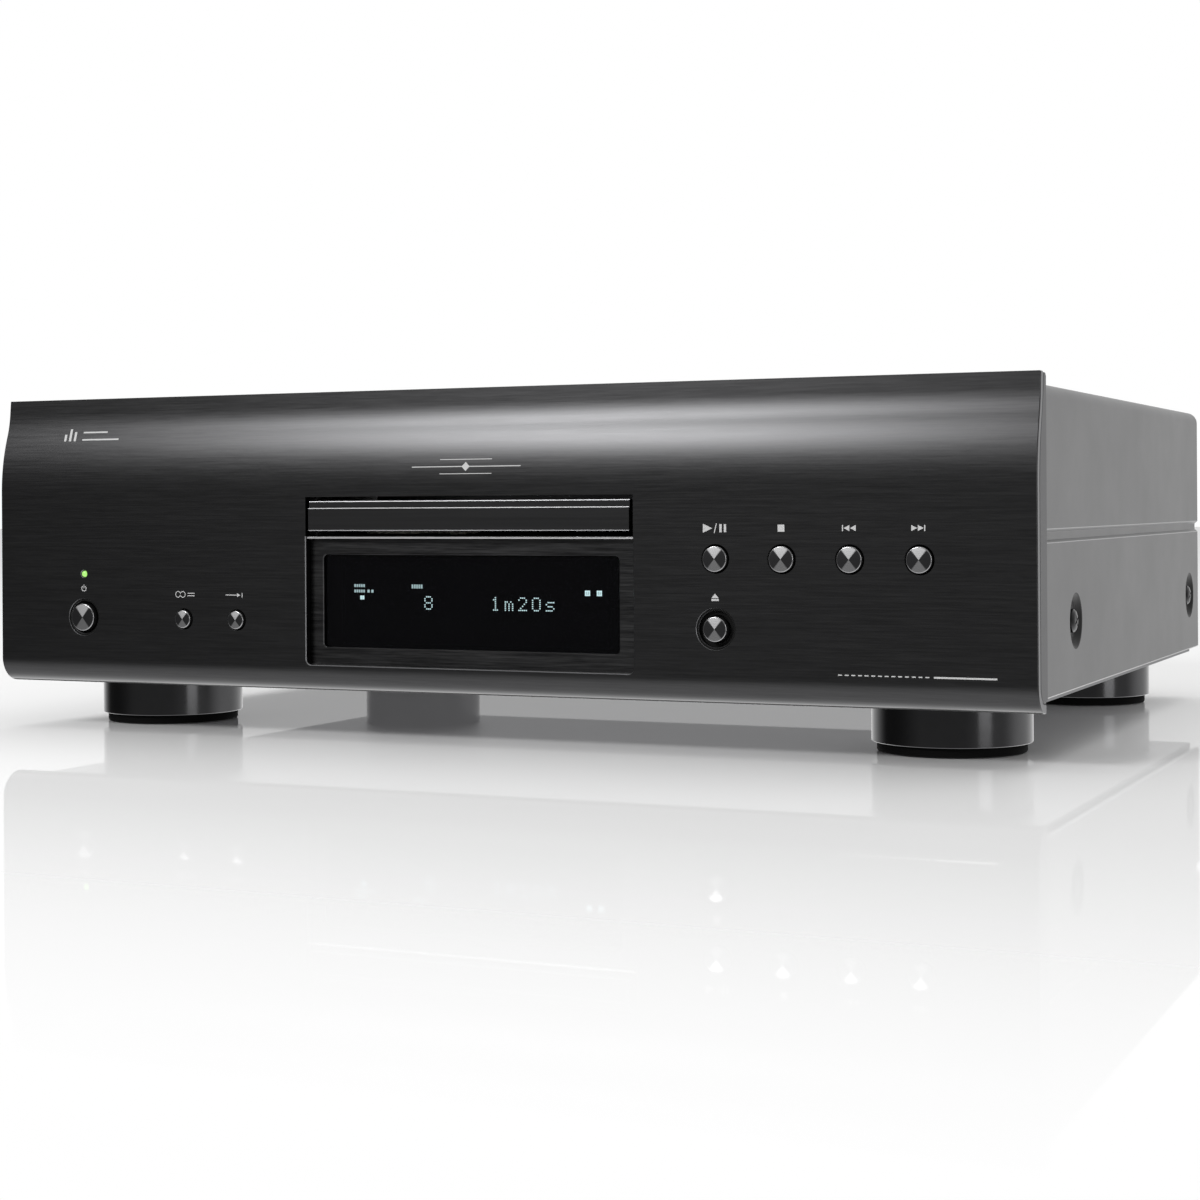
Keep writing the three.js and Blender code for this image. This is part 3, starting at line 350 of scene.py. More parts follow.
def slab(outline, axis, low, high, edge=0.0):
    # an outline pushed along an axis, its two rims shrunk by the edge towards its middle to break them
    outline = np.asarray(outline, float)
    middle = (outline.min(0) + outline.max(0)) / 2
    half = (outline.max(0) - outline.min(0)) / 2
    small = middle + (outline - middle) * (half - edge) / half
    stations = [(small, low), (outline, low + edge), (outline, high - edge), (small, high)]
    if not edge:
        stations = [(outline, low), (outline, high)]
    rings = []
    for ring, along in stations:
        u, v, w = ring[:, 0], ring[:, 1], np.full(len(ring), along)
        rings.append(np.stack({"x": (w, u, v), "y": (u, w, v), "z": (u, v, w)}[axis], -1))
    return skin(rings)


def cuboid(low, high, edge=0.0):
    (x0, y0, z0), (x1, y1, z1) = low, high
    return slab([[x0, z0], [x1, z0], [x1, z1], [x0, z1]], "y", y0, y1, edge)


def arc(cu, cv, radius, start, stop, steps):
    a = np.radians(np.linspace(start, stop, steps + 1))
    return np.stack([cu + radius * np.cos(a), cv + radius * np.sin(a)], -1)


def roundedRectangle(u0, u1, v0, v1, r, steps=8):
    return np.concatenate([
        arc(u1 - r, v1 - r, r, 0, 90, steps),
        arc(u0 + r, v1 - r, r, 90, 180, steps),
        arc(u0 + r, v0 + r, r, 180, 270, steps),
        arc(u1 - r, v0 + r, r, 270, 360, steps),
    ])


def meshOf(name, shapes, materials):
    # one mesh from several (points, faces)
    points, faces, start = [], [], 0
    for shapePoints, shapeFaces in shapes:
        points.append(np.asarray(shapePoints, float))
        faces += [[start + v for v in f] for f in shapeFaces]
        start += len(shapePoints)
    mesh = bpy.data.meshes.new(name)
    mesh.from_pydata(np.concatenate(points), [], faces)
    for material in materials:
        mesh.materials.append(material)
    work = bmesh.new()
    work.from_mesh(mesh)
    bmesh.ops.remove_doubles(work, verts=work.verts, dist=1e-7)
    bmesh.ops.dissolve_degenerate(work, edges=work.edges, dist=1e-8)
    bmesh.ops.recalc_face_normals(work, faces=work.faces)
    work.to_mesh(mesh)
    work.free()
    return mesh


def perFace(mesh, what):
    # the "center" or the "normal" of every face, one row each
    values = np.zeros(len(mesh.polygons) * 3)
    mesh.polygons.foreach_get(what, values)
    return values.reshape(-1, 3)


def smooth(mesh, angle=28):
    mesh.shade_smooth()
    mesh.set_sharp_from_angle(angle=math.radians(angle))


def piece(name, shapes, materials, body="case", stands=(), angle=28):
    materials = materials if isinstance(materials, list) else [materials]
    made = bpy.data.objects.new(name, meshOf(name, shapes, materials))
    bpy.context.scene.collection.objects.link(made)
    smooth(made.data, angle)
    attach(made, body)
    if stands:
        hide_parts(*stands)
    return made


def carve(target, cutters, operation="DIFFERENCE", angle=28):
    # boolean cuts or joins, applied to the mesh
    helpers = []
    for number, mesh in enumerate(cutters):
        helper = bpy.data.objects.new("cutter", mesh)
        bpy.context.scene.collection.objects.link(helper)
        helpers.append(helper)
        step = target.modifiers.new(f"carve{number}", "BOOLEAN")
        step.operation, step.object, step.solver, step.material_mode = operation, helper, "EXACT", "TRANSFER"
    graph = bpy.context.evaluated_depsgraph_get()
    shaped = bpy.data.meshes.new_from_object(target.evaluated_get(graph))
    target.modifiers.clear()
    target.data = shaped
    for helper in helpers:
        bpy.data.objects.remove(helper)
    smooth(shaped, angle)
    return target


def refined(node, material, edge=0.0, angle=30, body="case", segments=2):
    # a welded copy of a frame node's mesh with its flat faces merged, its edges broken and its curves smooth
    source = bpy.data.objects[node]
    work = bmesh.new()
    work.from_mesh(source.data)
    work.transform(source.matrix_world)
    bmesh.ops.remove_doubles(work, verts=work.verts, dist=2e-6)
    bmesh.ops.dissolve_limit(work, angle_limit=math.radians(0.5), verts=work.verts, edges=work.edges)
    mesh = bpy.data.meshes.new(node + "_fine")
    work.to_mesh(mesh)
    work.free()
    mesh.materials.clear()
    mesh.materials.append(material)
    mesh.polygons.foreach_set("material_index", [0] * len(mesh.polygons))
    made = bpy.data.objects.new(node + "_fine", mesh)
    bpy.context.scene.collection.objects.link(made)
    smooth(mesh, angle)
    if edge:
        broken = made.modifiers.new("edges", "BEVEL")
        broken.width, broken.segments, broken.limit_method = edge, segments, "ANGLE"
        broken.angle_limit = math.radians(35)
        broken.use_clamp_overlap = True
    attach(made, body)
    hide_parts(node)
    return made


# ---- camera, floor and light
view = {
    "lens": 66.732,
    "shift": -0.0798,
    "place": (0.39272, face - 0.73689, 0.09072),
    "turn": 24.54,  # degrees to the left of straight ahead
    "roll": -0.341,
}


def placeCamera(lens, shift, place, turn, roll):
    turn, roll = math.radians(turn), math.radians(roll)
    ahead = np.array([-math.sin(turn), math.cos(turn), 0])
    side = np.array([math.cos(turn), math.sin(turn), 0])
    up = np.array([0, 0, 1.0])
    across = side * math.cos(roll) + up * math.sin(roll)
    upward = up * math.cos(roll) - side * math.sin(roll)
    data = bpy.data.cameras.new("camera")
    data.lens, data.sensor_width, data.shift_y = lens, 36.0, shift
    data.clip_start, data.clip_end = 0.01, 50
    camera = bpy.data.objects.new("camera", data)
    columns = np.column_stack([across, upward, -ahead, place])
    camera.matrix_world = Matrix([*columns.tolist(), [0, 0, 0, 1]])
    bpy.context.scene.collection.objects.link(camera)
    bpy.context.scene.camera = camera


placeCamera(**view)

floor = {
    "front": -0.72, "back": 7.0, "half": 6.0, "color": (0.62, 0.62, 0.62), "mirror": 0.26, "roughness": 0.02,
    "fade": (-0.64, -0.26),  # the sheet grows from nothing to solid between these
}


def layFloor(front, back, half, color, mirror, roughness, fade):
    # a matt sheet with a little mirror mixed in, melting away towards its front edge
    look = Finish("floor_white")
    cloud = look.noise(2.0, 2.0)
    clouded = look.blendColor(cloud, color, tuple(c * 1.01 for c in color))
    matt = look.node("ShaderNodeBsdfDiffuse", {}, {"Color": clouded})
    gloss = look.node("ShaderNodeBsdfAnisotropic", {}, {"Color": (1, 1, 1, 1), "Roughness": roughness})
    both = look.node("ShaderNodeMixShader", {}, {0: mirror, 1: matt, 2: gloss})
    parts = look.node("ShaderNodeSeparateXYZ", {}, {0: look.place()}, output=1)
    solid = look.node("ShaderNodeMapRange", {"interpolation_type": "SMOOTHSTEP"},
                      {"Value": parts, "From Min": fade[0], "From Max": fade[1]})
    clear = look.node("ShaderNodeBsdfTransparent")
    whole = look.node("ShaderNodeMixShader", {}, {0: solid, 1: clear, 2: both})
    look.node("ShaderNodeOutputMaterial", {}, {"Surface": whole})
    corners = [[-half, front, 0], [half, front, 0], [half, back, 0], [-half, back, 0]]
    mesh = bpy.data.meshes.new("floor")
    mesh.from_pydata(corners, [], [[0, 1, 2, 3]])
    mesh.materials.append(look.material)
    ground = bpy.data.objects.new("floor", mesh)
    ground.location.z = -0.0002
    ground.visible_glossy = False
    bpy.context.scene.collection.objects.link(ground)


layFloor(**floor)

# place, aim, width, height, power
lights = {
    "key_front": ((-0.84, -1.83, 1.17), (0.1, -0.15, 0.12), 0.7, 0.4, 33),
    "strip_right": ((2.2, -1.15, 0.5), (0.2, -0.1, 0.06), 0.8, 1.4, 13),
    "top_wide": ((0.0, 0.5, 2.4), (0.0, 0.2, 0.0), 2.2, 2.2, 18),
}


def hangLights(lights):
    for name, (place, aim, wide, high, power) in lights.items():
        data = bpy.data.lights.new(name, "AREA")
        data.shape, data.size, data.size_y, data.energy = "RECTANGLE", wide, high, power
        lamp = bpy.data.objects.new(name, data)
        back = np.array(place, float) - np.array(aim, float)
        back /= np.linalg.norm(back)
        side = np.cross([0, 0, 1.0], back)
        length = np.linalg.norm(side)
        side = side / length if length > 1e-6 else np.array([1.0, 0, 0])
        columns = np.column_stack([side, np.cross(back, side), back, place])
        lamp.matrix_world = Matrix([*columns.tolist(), [0, 0, 0, 1]])
        bpy.context.scene.collection.objects.link(lamp)


hangLights(lights)

surround = {
    "seen": 1.0,
    "low": 0.22,
    # axis, where the change starts, where it ends, how much it adds
    "lobes": (
        (0, 0.5, 1.0, 0.2),
        (0, -0.45, -1.0, -0.16),
        (1, 0.0, 0.6, 0.8),
        (2, 0.45, 0.95, 1.0),
        (2, -0.12, -0.65, 1.5),
    ),
}


def makeSurround(seen, low, lobes):
    # white to the eye; as a light, dim in front, then smooth steps up overhead, underneath, behind and to the right
    world = bpy.data.worlds.new("studio")
    world.use_nodes = True
    bpy.context.scene.world = world
    tree = world.node_tree
    tree.nodes.clear()
    where = tree.nodes.new("ShaderNodeTexCoord")
    parts = tree.nodes.new("ShaderNodeSeparateXYZ")
    tree.links.new(where.outputs["Generated"], parts.inputs[0])
    total = None
    for axis, start, stop, amount in lobes:
        ramp = tree.nodes.new("ShaderNodeMapRange")
        ramp.interpolation_type = "SMOOTHSTEP"
        ramp.inputs["From Min"].default_value, ramp.inputs["From Max"].default_value = start, stop
        ramp.inputs["To Max"].default_value = amount
        tree.links.new(parts.outputs[axis], ramp.inputs["Value"])
        join = tree.nodes.new("ShaderNodeMath")
        join.operation = "ADD"
        join.inputs[1].default_value = low
        tree.links.new(ramp.outputs[0], join.inputs[0])
        if total is not None:
            tree.links.new(total.outputs[0], join.inputs[1])
        total = join
    path = tree.nodes.new("ShaderNodeLightPath")
    pick = tree.nodes.new("ShaderNodeMix")
    tree.links.new(path.outputs["Is Camera Ray"], pick.inputs[0])
    tree.links.new(total.outputs[0], pick.inputs[2])
    pick.inputs[3].default_value = seen
    sky = tree.nodes.new("ShaderNodeBackground")
    sky.inputs["Color"].default_value = (1, 1, 1, 1)
    tree.links.new(pick.outputs[0], sky.inputs["Strength"])
    out = tree.nodes.new("ShaderNodeOutputWorld")
    tree.links.new(sky.outputs[0], out.inputs[0])


makeSurround(**surround)
bpy.context.scene.view_settings.view_transform = "Standard"
print("camera, floor and lights set")


# ---- fascia
fascia = {
    "thick": 3.2,
    "lipTilt": 5.0,
    "slopeTilt": 17.8,
    "flatTop": 97.0,
    "slopeEnd": 119.5,
    "slopeTop": 120.5,
    "lipEnd": 129.5,
    "bottomRound": 10.0,
    "tuck": 1.4,
    "endChamfer": 0.35,
    "edgeChamfer": 0.32,
}


def fasciaCurve(inset, top, steps=14):
    # top lip, hollow curve, slope, swelling curve, flat, round bottom; each part tangent to the next
    lip, slope = math.radians(fascia["lipTilt"]), math.radians(fascia["slopeTilt"])
    swell = (fascia["slopeEnd"] - fascia["flatTop"]) / math.sin(slope)
    hollow = (fascia["lipEnd"] - fascia["slopeTop"]) / (math.sin(slope) - math.sin(lip))
    slopeEndY = swell * (1 - math.cos(slope))
    slopeTopY = slopeEndY + (fascia["slopeTop"] - fascia["slopeEnd"]) * math.tan(slope)
    lipEndY = slopeTopY + hollow * (math.cos(lip) - math.cos(slope))
    t = np.linspace(lip, slope, steps)
    upper = np.stack([
        lipEndY - hollow * (np.cos(lip) - np.cos(t)) + inset * np.cos(t),
        fascia["lipEnd"] - hollow * (np.sin(t) - np.sin(lip)) - inset * np.sin(t),
    ], -1)
    t = np.linspace(slope, 0, steps * 2)
    lower = np.stack([
        swell * (1 - np.cos(t)) + inset * np.cos(t),
        fascia["flatTop"] + swell * np.sin(t) - inset * np.sin(t),
    ], -1)
    first = [[lipEndY + (top - fascia["lipEnd"]) * math.tan(lip) + inset / math.cos(lip), top]]
    guard = [[inset, fascia["flatTop"] - 0.8]]
    bottom = panelLow[2] / mm
    r = fascia["bottomRound"]
    guard2 = [[inset, bottom + r + 0.8]]
    rounding = arc(r, bottom + r, r - inset, 180, 270, 16)
    return np.concatenate([first, upper, lower, guard, guard2, rounding])


def fasciaLoop(inset):
    # the whole outline of the bent sheet, drawn in by the inset all round
    bottom, r, thick = panelLow[2] / mm, fascia["bottomRound"], fascia["thick"]
    top = panelHigh[2] / mm
    outer = fasciaCurve(inset, top - inset)
    inner = fasciaCurve(thick - inset, top - inset)
    tuck = r + fascia["tuck"] - inset
    loop = np.concatenate([outer, [[tuck, bottom + inset], [tuck, bottom + thick - inset]], inner[::-1]])
    return loop * mm + [face, 0]


def setBack(z):
    # how far behind the flat face the skin lies at a height, all in metres
    curve = fasciaCurve(0.0, panelHigh[2] / mm)
    return np.interp(np.asarray(z) / mm, curve[:, 1][::-1], curve[:, 0][::-1]) * mm


# radius of each button's face
controls = {
    "power_button": 5.5, "layer_button": 3.55, "direct_button": 3.55, "play_button": 4.6,
    "stop_button": 4.6, "previous_button": 4.6, "next_button": 4.6, "eject_button": 4.5,
}
recessed = ("power_button", "eject_button")
holes = {
    "gap": 0.55,
    "recessedGap": 0.45,
    "steps": ((7.4, 0.5), (6.6, 2.2)),  # radius and depth of the two steps round a recessed button
    "lamp": 1.45,
    "deep": 6.0,
    "flare": 0.22,
}


def centreOf(node):
    low, high = span(node)
    return (low + high) / 2


def roundCutter(x, z, steps):
    # steps of (radius, depth where it ends), with a small flare at each mouth; the walls and step floors it leaves are
    # near black, painted shade in the holes
    profile = [[0, face - 1 * mm]]
    previous = face - 1 * mm
    for number, (radius, stop) in enumerate(steps):
        start = face if number == 0 else previous
        flare = holes["flare"] * mm
        if number == 0:
            profile += [[radius + flare + 1 * mm, face - 1 * mm]]
        profile += [[radius + flare, start], [radius, start + flare]]
        profile += [[radius, face + stop]]
        previous = face + stop
    profile += [[0, face + steps[-1][1]]]
    points, faces = turned(profile, (x, 0, z), "y", 72)
    mesh = meshOf("round_cutter", [(points, faces)], [deepBlack, dimEdge])
    markSlopes(mesh)
    return mesh


def markSlopes(mesh, low=0.3, high=0.95):
    # faces that slope between facing forwards and facing sideways are the bright cut edge
    lean = np.abs(perFace(mesh, "normal")[:, 1])
    mesh.polygons.foreach_set("material_index", ((lean > low) & (lean < high)).astype(int))


def windowCutter(half, bottom, top, chamfer):
    r = 2.2 * mm
    rings = []
    for grow, y in ((chamfer + 1 * mm, face - 1 * mm), (chamfer, face), (0, face + chamfer), (0, face + 6 * mm)):
        g = grow
        outline = np.concatenate([
            [[half + g, top], [-half - g, top]],
            arc(-half + r, bottom + r, r + g, 180, 270, 10),
            arc(half - r, bottom + r, r + g, 270, 360, 10),
        ])
        rings.append(np.stack([outline[:, 0], np.full(len(outline), y), outline[:, 1]], -1))
    mesh = meshOf("window_cutter", [skin(rings)], [fasciaMetal, dimEdge])
    markSlopes(mesh)
    return mesh


opening = {"beside": 1.45, "above": 1.7, "bottom": 29.2}  # gaps round the door, and the window's lower edge


def makeFascia():
    edge = fascia["endChamfer"]
    low, high = panelLow[0], panelHigh[0]
    rings = []
    for x, inset in ((low, edge), (low + edge * mm, 0), (high - edge * mm, 0), (high, edge)):
        loop = fasciaLoop(inset)
        rings.append(np.column_stack([np.full(len(loop), x), loop]))
    made = piece("fascia", [skin(rings)], [fasciaMetal, dimEdge, endPaintedReflection, deepBlack], stands=["front_panel"])
    normals = perFace(made.data, "normal")
    # faces that look straight down under the bottom round take the deep black: painted shade for the shadowed floor
    # they would reflect
    under = (normals[:, 2] < -0.93) & (np.abs(normals[:, 0]) < 0.1)
    # faces that look sideways, the panel's two ends, take the lighter end metal, a painted reflection
    made.data.polygons.foreach_set("material_index", np.where(np.abs(normals[:, 0]) > 0.9, 2, np.where(under, 3, 0)))
    doorHigh = span("tray_door")[1]
    half = doorHigh[0] + opening["beside"] * mm
    slotTop, slotLow = doorHigh[2] + opening["above"] * mm, span("window_bezel")[1][2]
    bezelLow = opening["bottom"] * mm
    slotPoints = [[-half, slotLow - 2 * mm], [half, slotLow - 2 * mm], [half, slotTop], [-half, slotTop]]
    deep = holes["deep"] * mm
    slot = meshOf("slot_cutter", [slab(slotPoints, "y", face - 1 * mm, face + deep)], [fasciaMetal])
    cutters = [windowCutter(half, bezelLow, slotLow, fascia["edgeChamfer"] * mm), slot]
    for name, cap in controls.items():
        x, _, z = centreOf(name)
        steps = [((cap + holes["gap"]) * mm, deep)]
        if name in recessed:
            steps = [(radius * mm, depth * mm) for radius, depth in holes["steps"]]
            steps.append(((cap + holes["recessedGap"]) * mm, deep))
        cutters.append(roundCutter(x, z, steps))
    light = centreOf("status_light")
    cutters.append(roundCutter(light[0], light[2], [(holes["lamp"] * mm, deep)]))
    carve(made, cutters)


makeFascia()
print("fascia made")


# ---- push buttons: a turned face with very shallow rings, a rounded rim, a flange and a plain shank
spun = {"pitch": 0.60, "deep": 0.002, "dome": 0.10, "rim": 0.35, "darkFrom": 0.9}


def makeButton(node, cap):
    # height = ring depth * (1 - cos(2 pi r / pitch)) / 2 + dome * (r / cap) squared, then a quarter-round rim
    low, high = span(node)
    x, z = (low[0] + high[0]) / 2, (low[2] + high[2]) / 2
    tip = low[1]
    pitch, deep, dome, rim = spun["pitch"], spun["deep"], spun["dome"], spun["rim"]
    flat = cap - rim
    r = np.linspace(0, flat, int(flat / pitch * 8))
    height = deep * (1 - np.cos(2 * np.pi * r / pitch)) / 2 + dome * (r / flat) ** 2
    front = np.stack([r, height], -1)
    edge = arc(flat, dome + rim, rim, 270, 360, 6)
    end = (high[1] - tip) / mm
    back = [[cap, 4.4], [cap + 1, 4.4], [cap + 1, 5.6], [1.7, 5.6], [1.7, end], [0, end]]
    profile = np.concatenate([front, edge, back]) * mm + [0, tip]
    label = node.replace("_button", "_key")
    materials = [spunMetalPaintedReflections, capRim, deepBlack]
    made = piece(node + "_cap", [turned(profile, (x, 0, z), "y", 72)], materials, label, [node], 50)
    mesh = made.data
    points, corners = np.zeros(len(mesh.vertices) * 3), np.zeros(len(mesh.loops), int)
    mesh.vertices.foreach_get("co", points)
    mesh.loops.foreach_get("vertex_index", corners)
    points = points.reshape(-1, 3)
    disc = (points[corners][:, [0, 2]] - [x, z]) / mm
    mesh.uv_layers.new(name="disc").data.foreach_set("uv", disc.ravel())
    middles = perFace(mesh, "center")
    reach = np.hypot(middles[:, 0] - x, middles[:, 2] - z)
    index = np.where(reach < flat * mm, 0, 1)
    # faces further back than darkFrom take the deep black: painted shade in the gap round the cap
    index[middles[:, 1] > tip + spun["darkFrom"] * mm] = 2
    mesh.polygons.foreach_set("material_index", index)


for name, cap in controls.items():
    makeButton(name, cap)
print("buttons made")


# ---- bezel, window, display and door
bezel = {
    "back": 3.5,  # how far the plate lies behind the fascia's face
    "thick": 1.2,
    "half": 71.0,
    "bottom": 28.6,
    "hole": (-63.4, 62.1, 36.0, 71.8),
    "corner": 1.6,
    "edge": 0.3,
    "shelfHalf": 69.0,
}


def makeBezel():
    low, high = span("window_bezel")
    plateY = face + bezel["back"] * mm
    side, bottom = bezel["half"] * mm, bezel["bottom"] * mm
    plate = [[-side, bottom], [side, bottom], [side, high[2]], [-side, high[2]]]
    made = piece("bezel_plate", [slab(plate, "y", plateY, plateY + bezel["thick"] * mm)], bezelMetal,
                 stands=["window_bezel"])
    left, right, under, over = np.array(bezel["hole"]) * mm
    edge, rings = bezel["edge"] * mm, []
    for g, y in ((edge, plateY - 0.5 * mm), (edge, plateY), (0, plateY + edge), (0, plateY + 3 * mm)):
        outline = roundedRectangle(left - g, right + g, under - g, over + g, bezel["corner"] * mm + g)
        rings.append(np.stack([outline[:, 0], np.full(len(outline), y), outline[:, 1]], -1))
    carve(made, [meshOf("hole", [skin(rings)], [bezelMetal])])
    half = bezel["shelfHalf"] * mm
    top, front = high[2], low[1]
    section = [[front, top - 0.8 * mm], [front, top - 0.3 * mm], [front + 0.3 * mm, top], [face + 8 * mm, top],
               [face + 8 * mm, top - 0.8 * mm]]
    shelf = slab(section, "x", -half, half)
    lip = piece("bezel_shelf", [shelf], [bezelMetal, brightEdge])
    forward = perFace(lip.data, "normal")[:, 1] < -0.5
    lip.data.polygons.foreach_set("material_index", forward.astype(int))


def makeWindow():
    low, high = span("display_window")
    outline = roundedRectangle(low[0], high[0], low[2], high[2], 1 * mm)
    piece("window_pane", [slab(outline, "y", low[1], high[1])], windowAcrylic, stands=["display_window"])


door = {"stripFrom": 89.6, "edge": 0.30, "setBack": 0.8}


def makeDoor():
    # the face, a bright cut line, a set-back strip, and another line along its top
    low, high = span("tray_door")
    y0, y1, z0, z1 = low[1], high[1], low[2], high[2]
    e, b, back = door["edge"] * mm, door["stripFrom"] * mm, door["setBack"] * mm
    section = [[y1, z0], [y0 + e, z0], [y0, z0 + e], [y0, b], [y0 + e, b + e], [y0 + back, b + e * 1.3],
               [y0 + back, z1 - e], [y0 + back + e * 0.5, z1], [y1, z1]]
    made = piece("door", [slab(section, "x", low[0], high[0], 0)], [doorMetal, cutEdge, brightEdge], "tray",
                 ["tray_door"], angle=5)
    middles = perFace(made.data, "center")
    index = np.zeros(len(middles), int)
    front = middles[:, 1] < y0 + 1.2 * mm
    index[front & (middles[:, 2] < z0 + e)] = 1
    index[front & (np.abs(middles[:, 2] - b - e * 0.5) < 0.1 * mm)] = 2
    index[front & (np.abs(middles[:, 2] - z1 + e * 0.5) < 0.1 * mm)] = 1
    made.data.polygons.foreach_set("material_index", index)


makeBezel()
makeWindow()
makeDoor()

slotShadeSheet = {"half": 69.2, "front": 8.3, "back": 8.7, "bottom": 77.9, "clear": 0.3}


def makeSlotShadeSheet():
    # a near-black sheet that closes the gap behind the shelf, up to just under the tray: painted shade over the inside
    # seen through the gap
    side, top = slotShadeSheet["half"] * mm, span("disc_tray")[0][2] - slotShadeSheet["clear"] * mm
    low = (-side, face + slotShadeSheet["front"] * mm, slotShadeSheet["bottom"] * mm)
    piece("dust_strip", [cuboid(low, (side, face + slotShadeSheet["back"] * mm, top))], deepBlack)


makeSlotShadeSheet()
print("bezel, window and door made")

# rows of dots, five wide and seven high, top row first
glyphs = {
    "8": ["01110", "10001", "10001", "01110", "10001", "10001", "01110"],
    "1": ["00100", "01100", "00100", "00100", "00100", "00100", "01110"],
    "2": ["01110", "10001", "00001", "00010", "00100", "01000", "11111"],
    "0": ["01110", "10001", "10001", "10001", "10001", "10001", "01110"],
    "m": ["00000", "00000", "11010", "10101", "10101", "10101", "10101"],
    "s": ["00000", "00000", "01111", "10000", "01110", "00001", "11110"],
}
dots = {"y": 7.35, "size": 0.43, "pitch": 0.76, "high": 0.77}


def dotShapes(text, x, top, advance):
    # each lit dot is a thin block
    blocks = []
    y = face + dots["y"] * mm
    for place, letter in enumerate(text):
        lit = np.argwhere(np.array([[int(c) for c in row] for row in glyphs[letter]]))
        for row, column in lit:
            cx = (x + place * advance + column * dots["pitch"]) * mm
            cz = (top - row * dots["high"]) * mm
            h = dots["size"] / 2 * mm
            blocks.append(cuboid((cx - h, y, cz - h), (cx + h, y + 0.2 * mm, cz + h)))
    return blocks


def flatBlocks(rows):
    # thin blocks from rows of (x, z, width, height)
    y0, y1 = face + dots["y"] * mm, face + (dots["y"] + 0.2) * mm
    return [
        cuboid(((x - w / 2) * mm, y0, (z - h / 2) * mm), ((x + w / 2) * mm, y1, (z + h / 2) * mm))
        for x, z, w, h in rows
    ]


def makeDisplay():
    piece("display_digits", dotShapes("8", -20.8, 55.8, 5) + dotShapes("1m20s", 7.9, 55.8, 5.7), displayGlow)
    tiny = [(-26.2 + 1.0 * i, 59.7, 0.6, 1.5) for i in range(5)]
    tiny += [(-51.6 + 1.0 * i, z, 0.6, 1.1) for z in (59.8, 57.7) for i in range(5)]
    tiny += [(-45.6, 57.7, 0.9, 1.1), (-43.9, 57.7, 0.9, 1.1)]
    piece("display_marks", flatBlocks(tiny), displayDim)
    lit = []
    rims = ((-0.75, 0, 0.5, 2.0), (0.75, 0, 0.5, 2.0), (0, 0.75, 2.0, 0.5), (0, -0.75, 2.0, 0.5), (0, 0, 0.5, 0.9))
    for x in (47.6, 52.4):
        lit += [(x + dx, 57.9 + dz, w, h) for dx, dz, w, h in rims]
    lit += [(-48.9 + 0.95 * i, 55.2, 0.75, 1.5) for i in range(2)]
    piece("display_squares", flatBlocks(lit), displayGlow)


makeDisplay()
print("display made")


# ---- printed marks
def printed(name, outlines, thick=0.03):
    # flat outlines in x and z laid on the skin of the fascia
    shapes = []
    for outline in outlines:
        outline = np.asarray(outline, float) * mm
        y = face + setBack(outline[:, 1])
        rings = [np.stack([outline[:, 0], y - thick * mm, outline[:, 1]], -1)]
        rings.append(np.stack([outline[:, 0], y + 0.05 * mm, outline[:, 1]], -1))
        shapes.append(skin(rings))
    piece(name, shapes, whitePrint, angle=20)


def bar(x, z, w, h):
    return [[x - w / 2, z - h / 2], [x + w / 2, z - h / 2], [x + w / 2, z + h / 2], [x - w / 2, z + h / 2]]


def arrowHead(x, z, w, h, way=1):
    return [[x - way * w / 2, z - h / 2], [x + way * w / 2, z], [x - way * w / 2, z + h / 2]]


def ringPart(x, z, r, thick, start, stop, steps=18):
    outer, inner = arc(x, z, r + thick / 2, start, stop, steps), arc(x, z, r - thick / 2, start, stop, steps)
    return [np.array([outer[i], outer[i + 1], inner[i + 1], inner[i]]) for i in range(steps)]


def printMarks():
    z = 81.95
    slash = [[100.7, z - 1.7], [101.05, z - 1.7], [101.9, z + 1.7], [101.55, z + 1.7]]
    printed("mark_play", [arrowHead(98.35, z, 3.6, 3.2), slash, bar(103.3, z, 0.9, 2.9), bar(105.0, z, 0.9, 2.9)])
    printed("mark_stop", [bar(126.1, z, 2.5, 2.5)])
    back = [arrowHead(x, z, 2.1, 2.1, -1) for x in (150.15, 152.45)]
    printed("mark_previous", [bar(148.7, z, 0.4, 2.1)] + back)
    printed("mark_next", [arrowHead(174.4, z, 2.1, 2.1), arrowHead(176.7, z, 2.1, 2.1), bar(178.1, z, 0.4, 2.1)])
    printed("mark_eject", [[[99.65, 57.05], [102.45, 57.05], [101.05, 58.65]], bar(101.05, 56.4, 2.8, 0.7)])
    printed("mark_power", ringPart(-175, 57.7, 1.1, 0.3, 125, 415, 24) + [bar(-175, 58.5, 0.3, 1.5)])
    rings = ringPart(-128.9, 55.8, 1.15, 0.26, 0, 360, 24) + ringPart(-126.6, 55.8, 1.15, 0.26, 0, 360, 24)
    printed("mark_layer", rings + [bar(-122.7, 56.3, 3.4, 0.28), bar(-122.7, 55.3, 3.4, 0.28)])
    z = 55.8
    printed("mark_direct", [bar(-103.6, z, 5.4, 0.3), arrowHead(-100.2, z, 1.5, 1.5), bar(-98.6, z, 0.3, 1.8)])
    bars = [bar(-186.4 + 2.4 * i, 117.8 + h / 2, 1.1, h) for i, h in enumerate((2.8, 5.0, 3.8))]
    printed("mark_badge", bars + [bar(-168.8, 118.3, 18, 0.6), bar(-171.8, 121.3, 12, 0.6)])
    centre = [bar(0.8, 105.2, 46, 0.34), bar(0.8, 107.9, 22, 0.26), bar(0.8, 102.5, 22, 0.26)]
    printed("mark_centre", centre + [[[-0.9, 105.2], [0.8, 103.5], [2.5, 105.2], [0.8, 106.9]]])
    dashes = [bar(147.5 + 2.4 * i, 30.9, 1.4, 0.4) for i in range(14)] + [bar(192.0, 30.9, 22, 0.6)]
    printed("mark_corner", dashes)


printMarks()
print("marks printed")


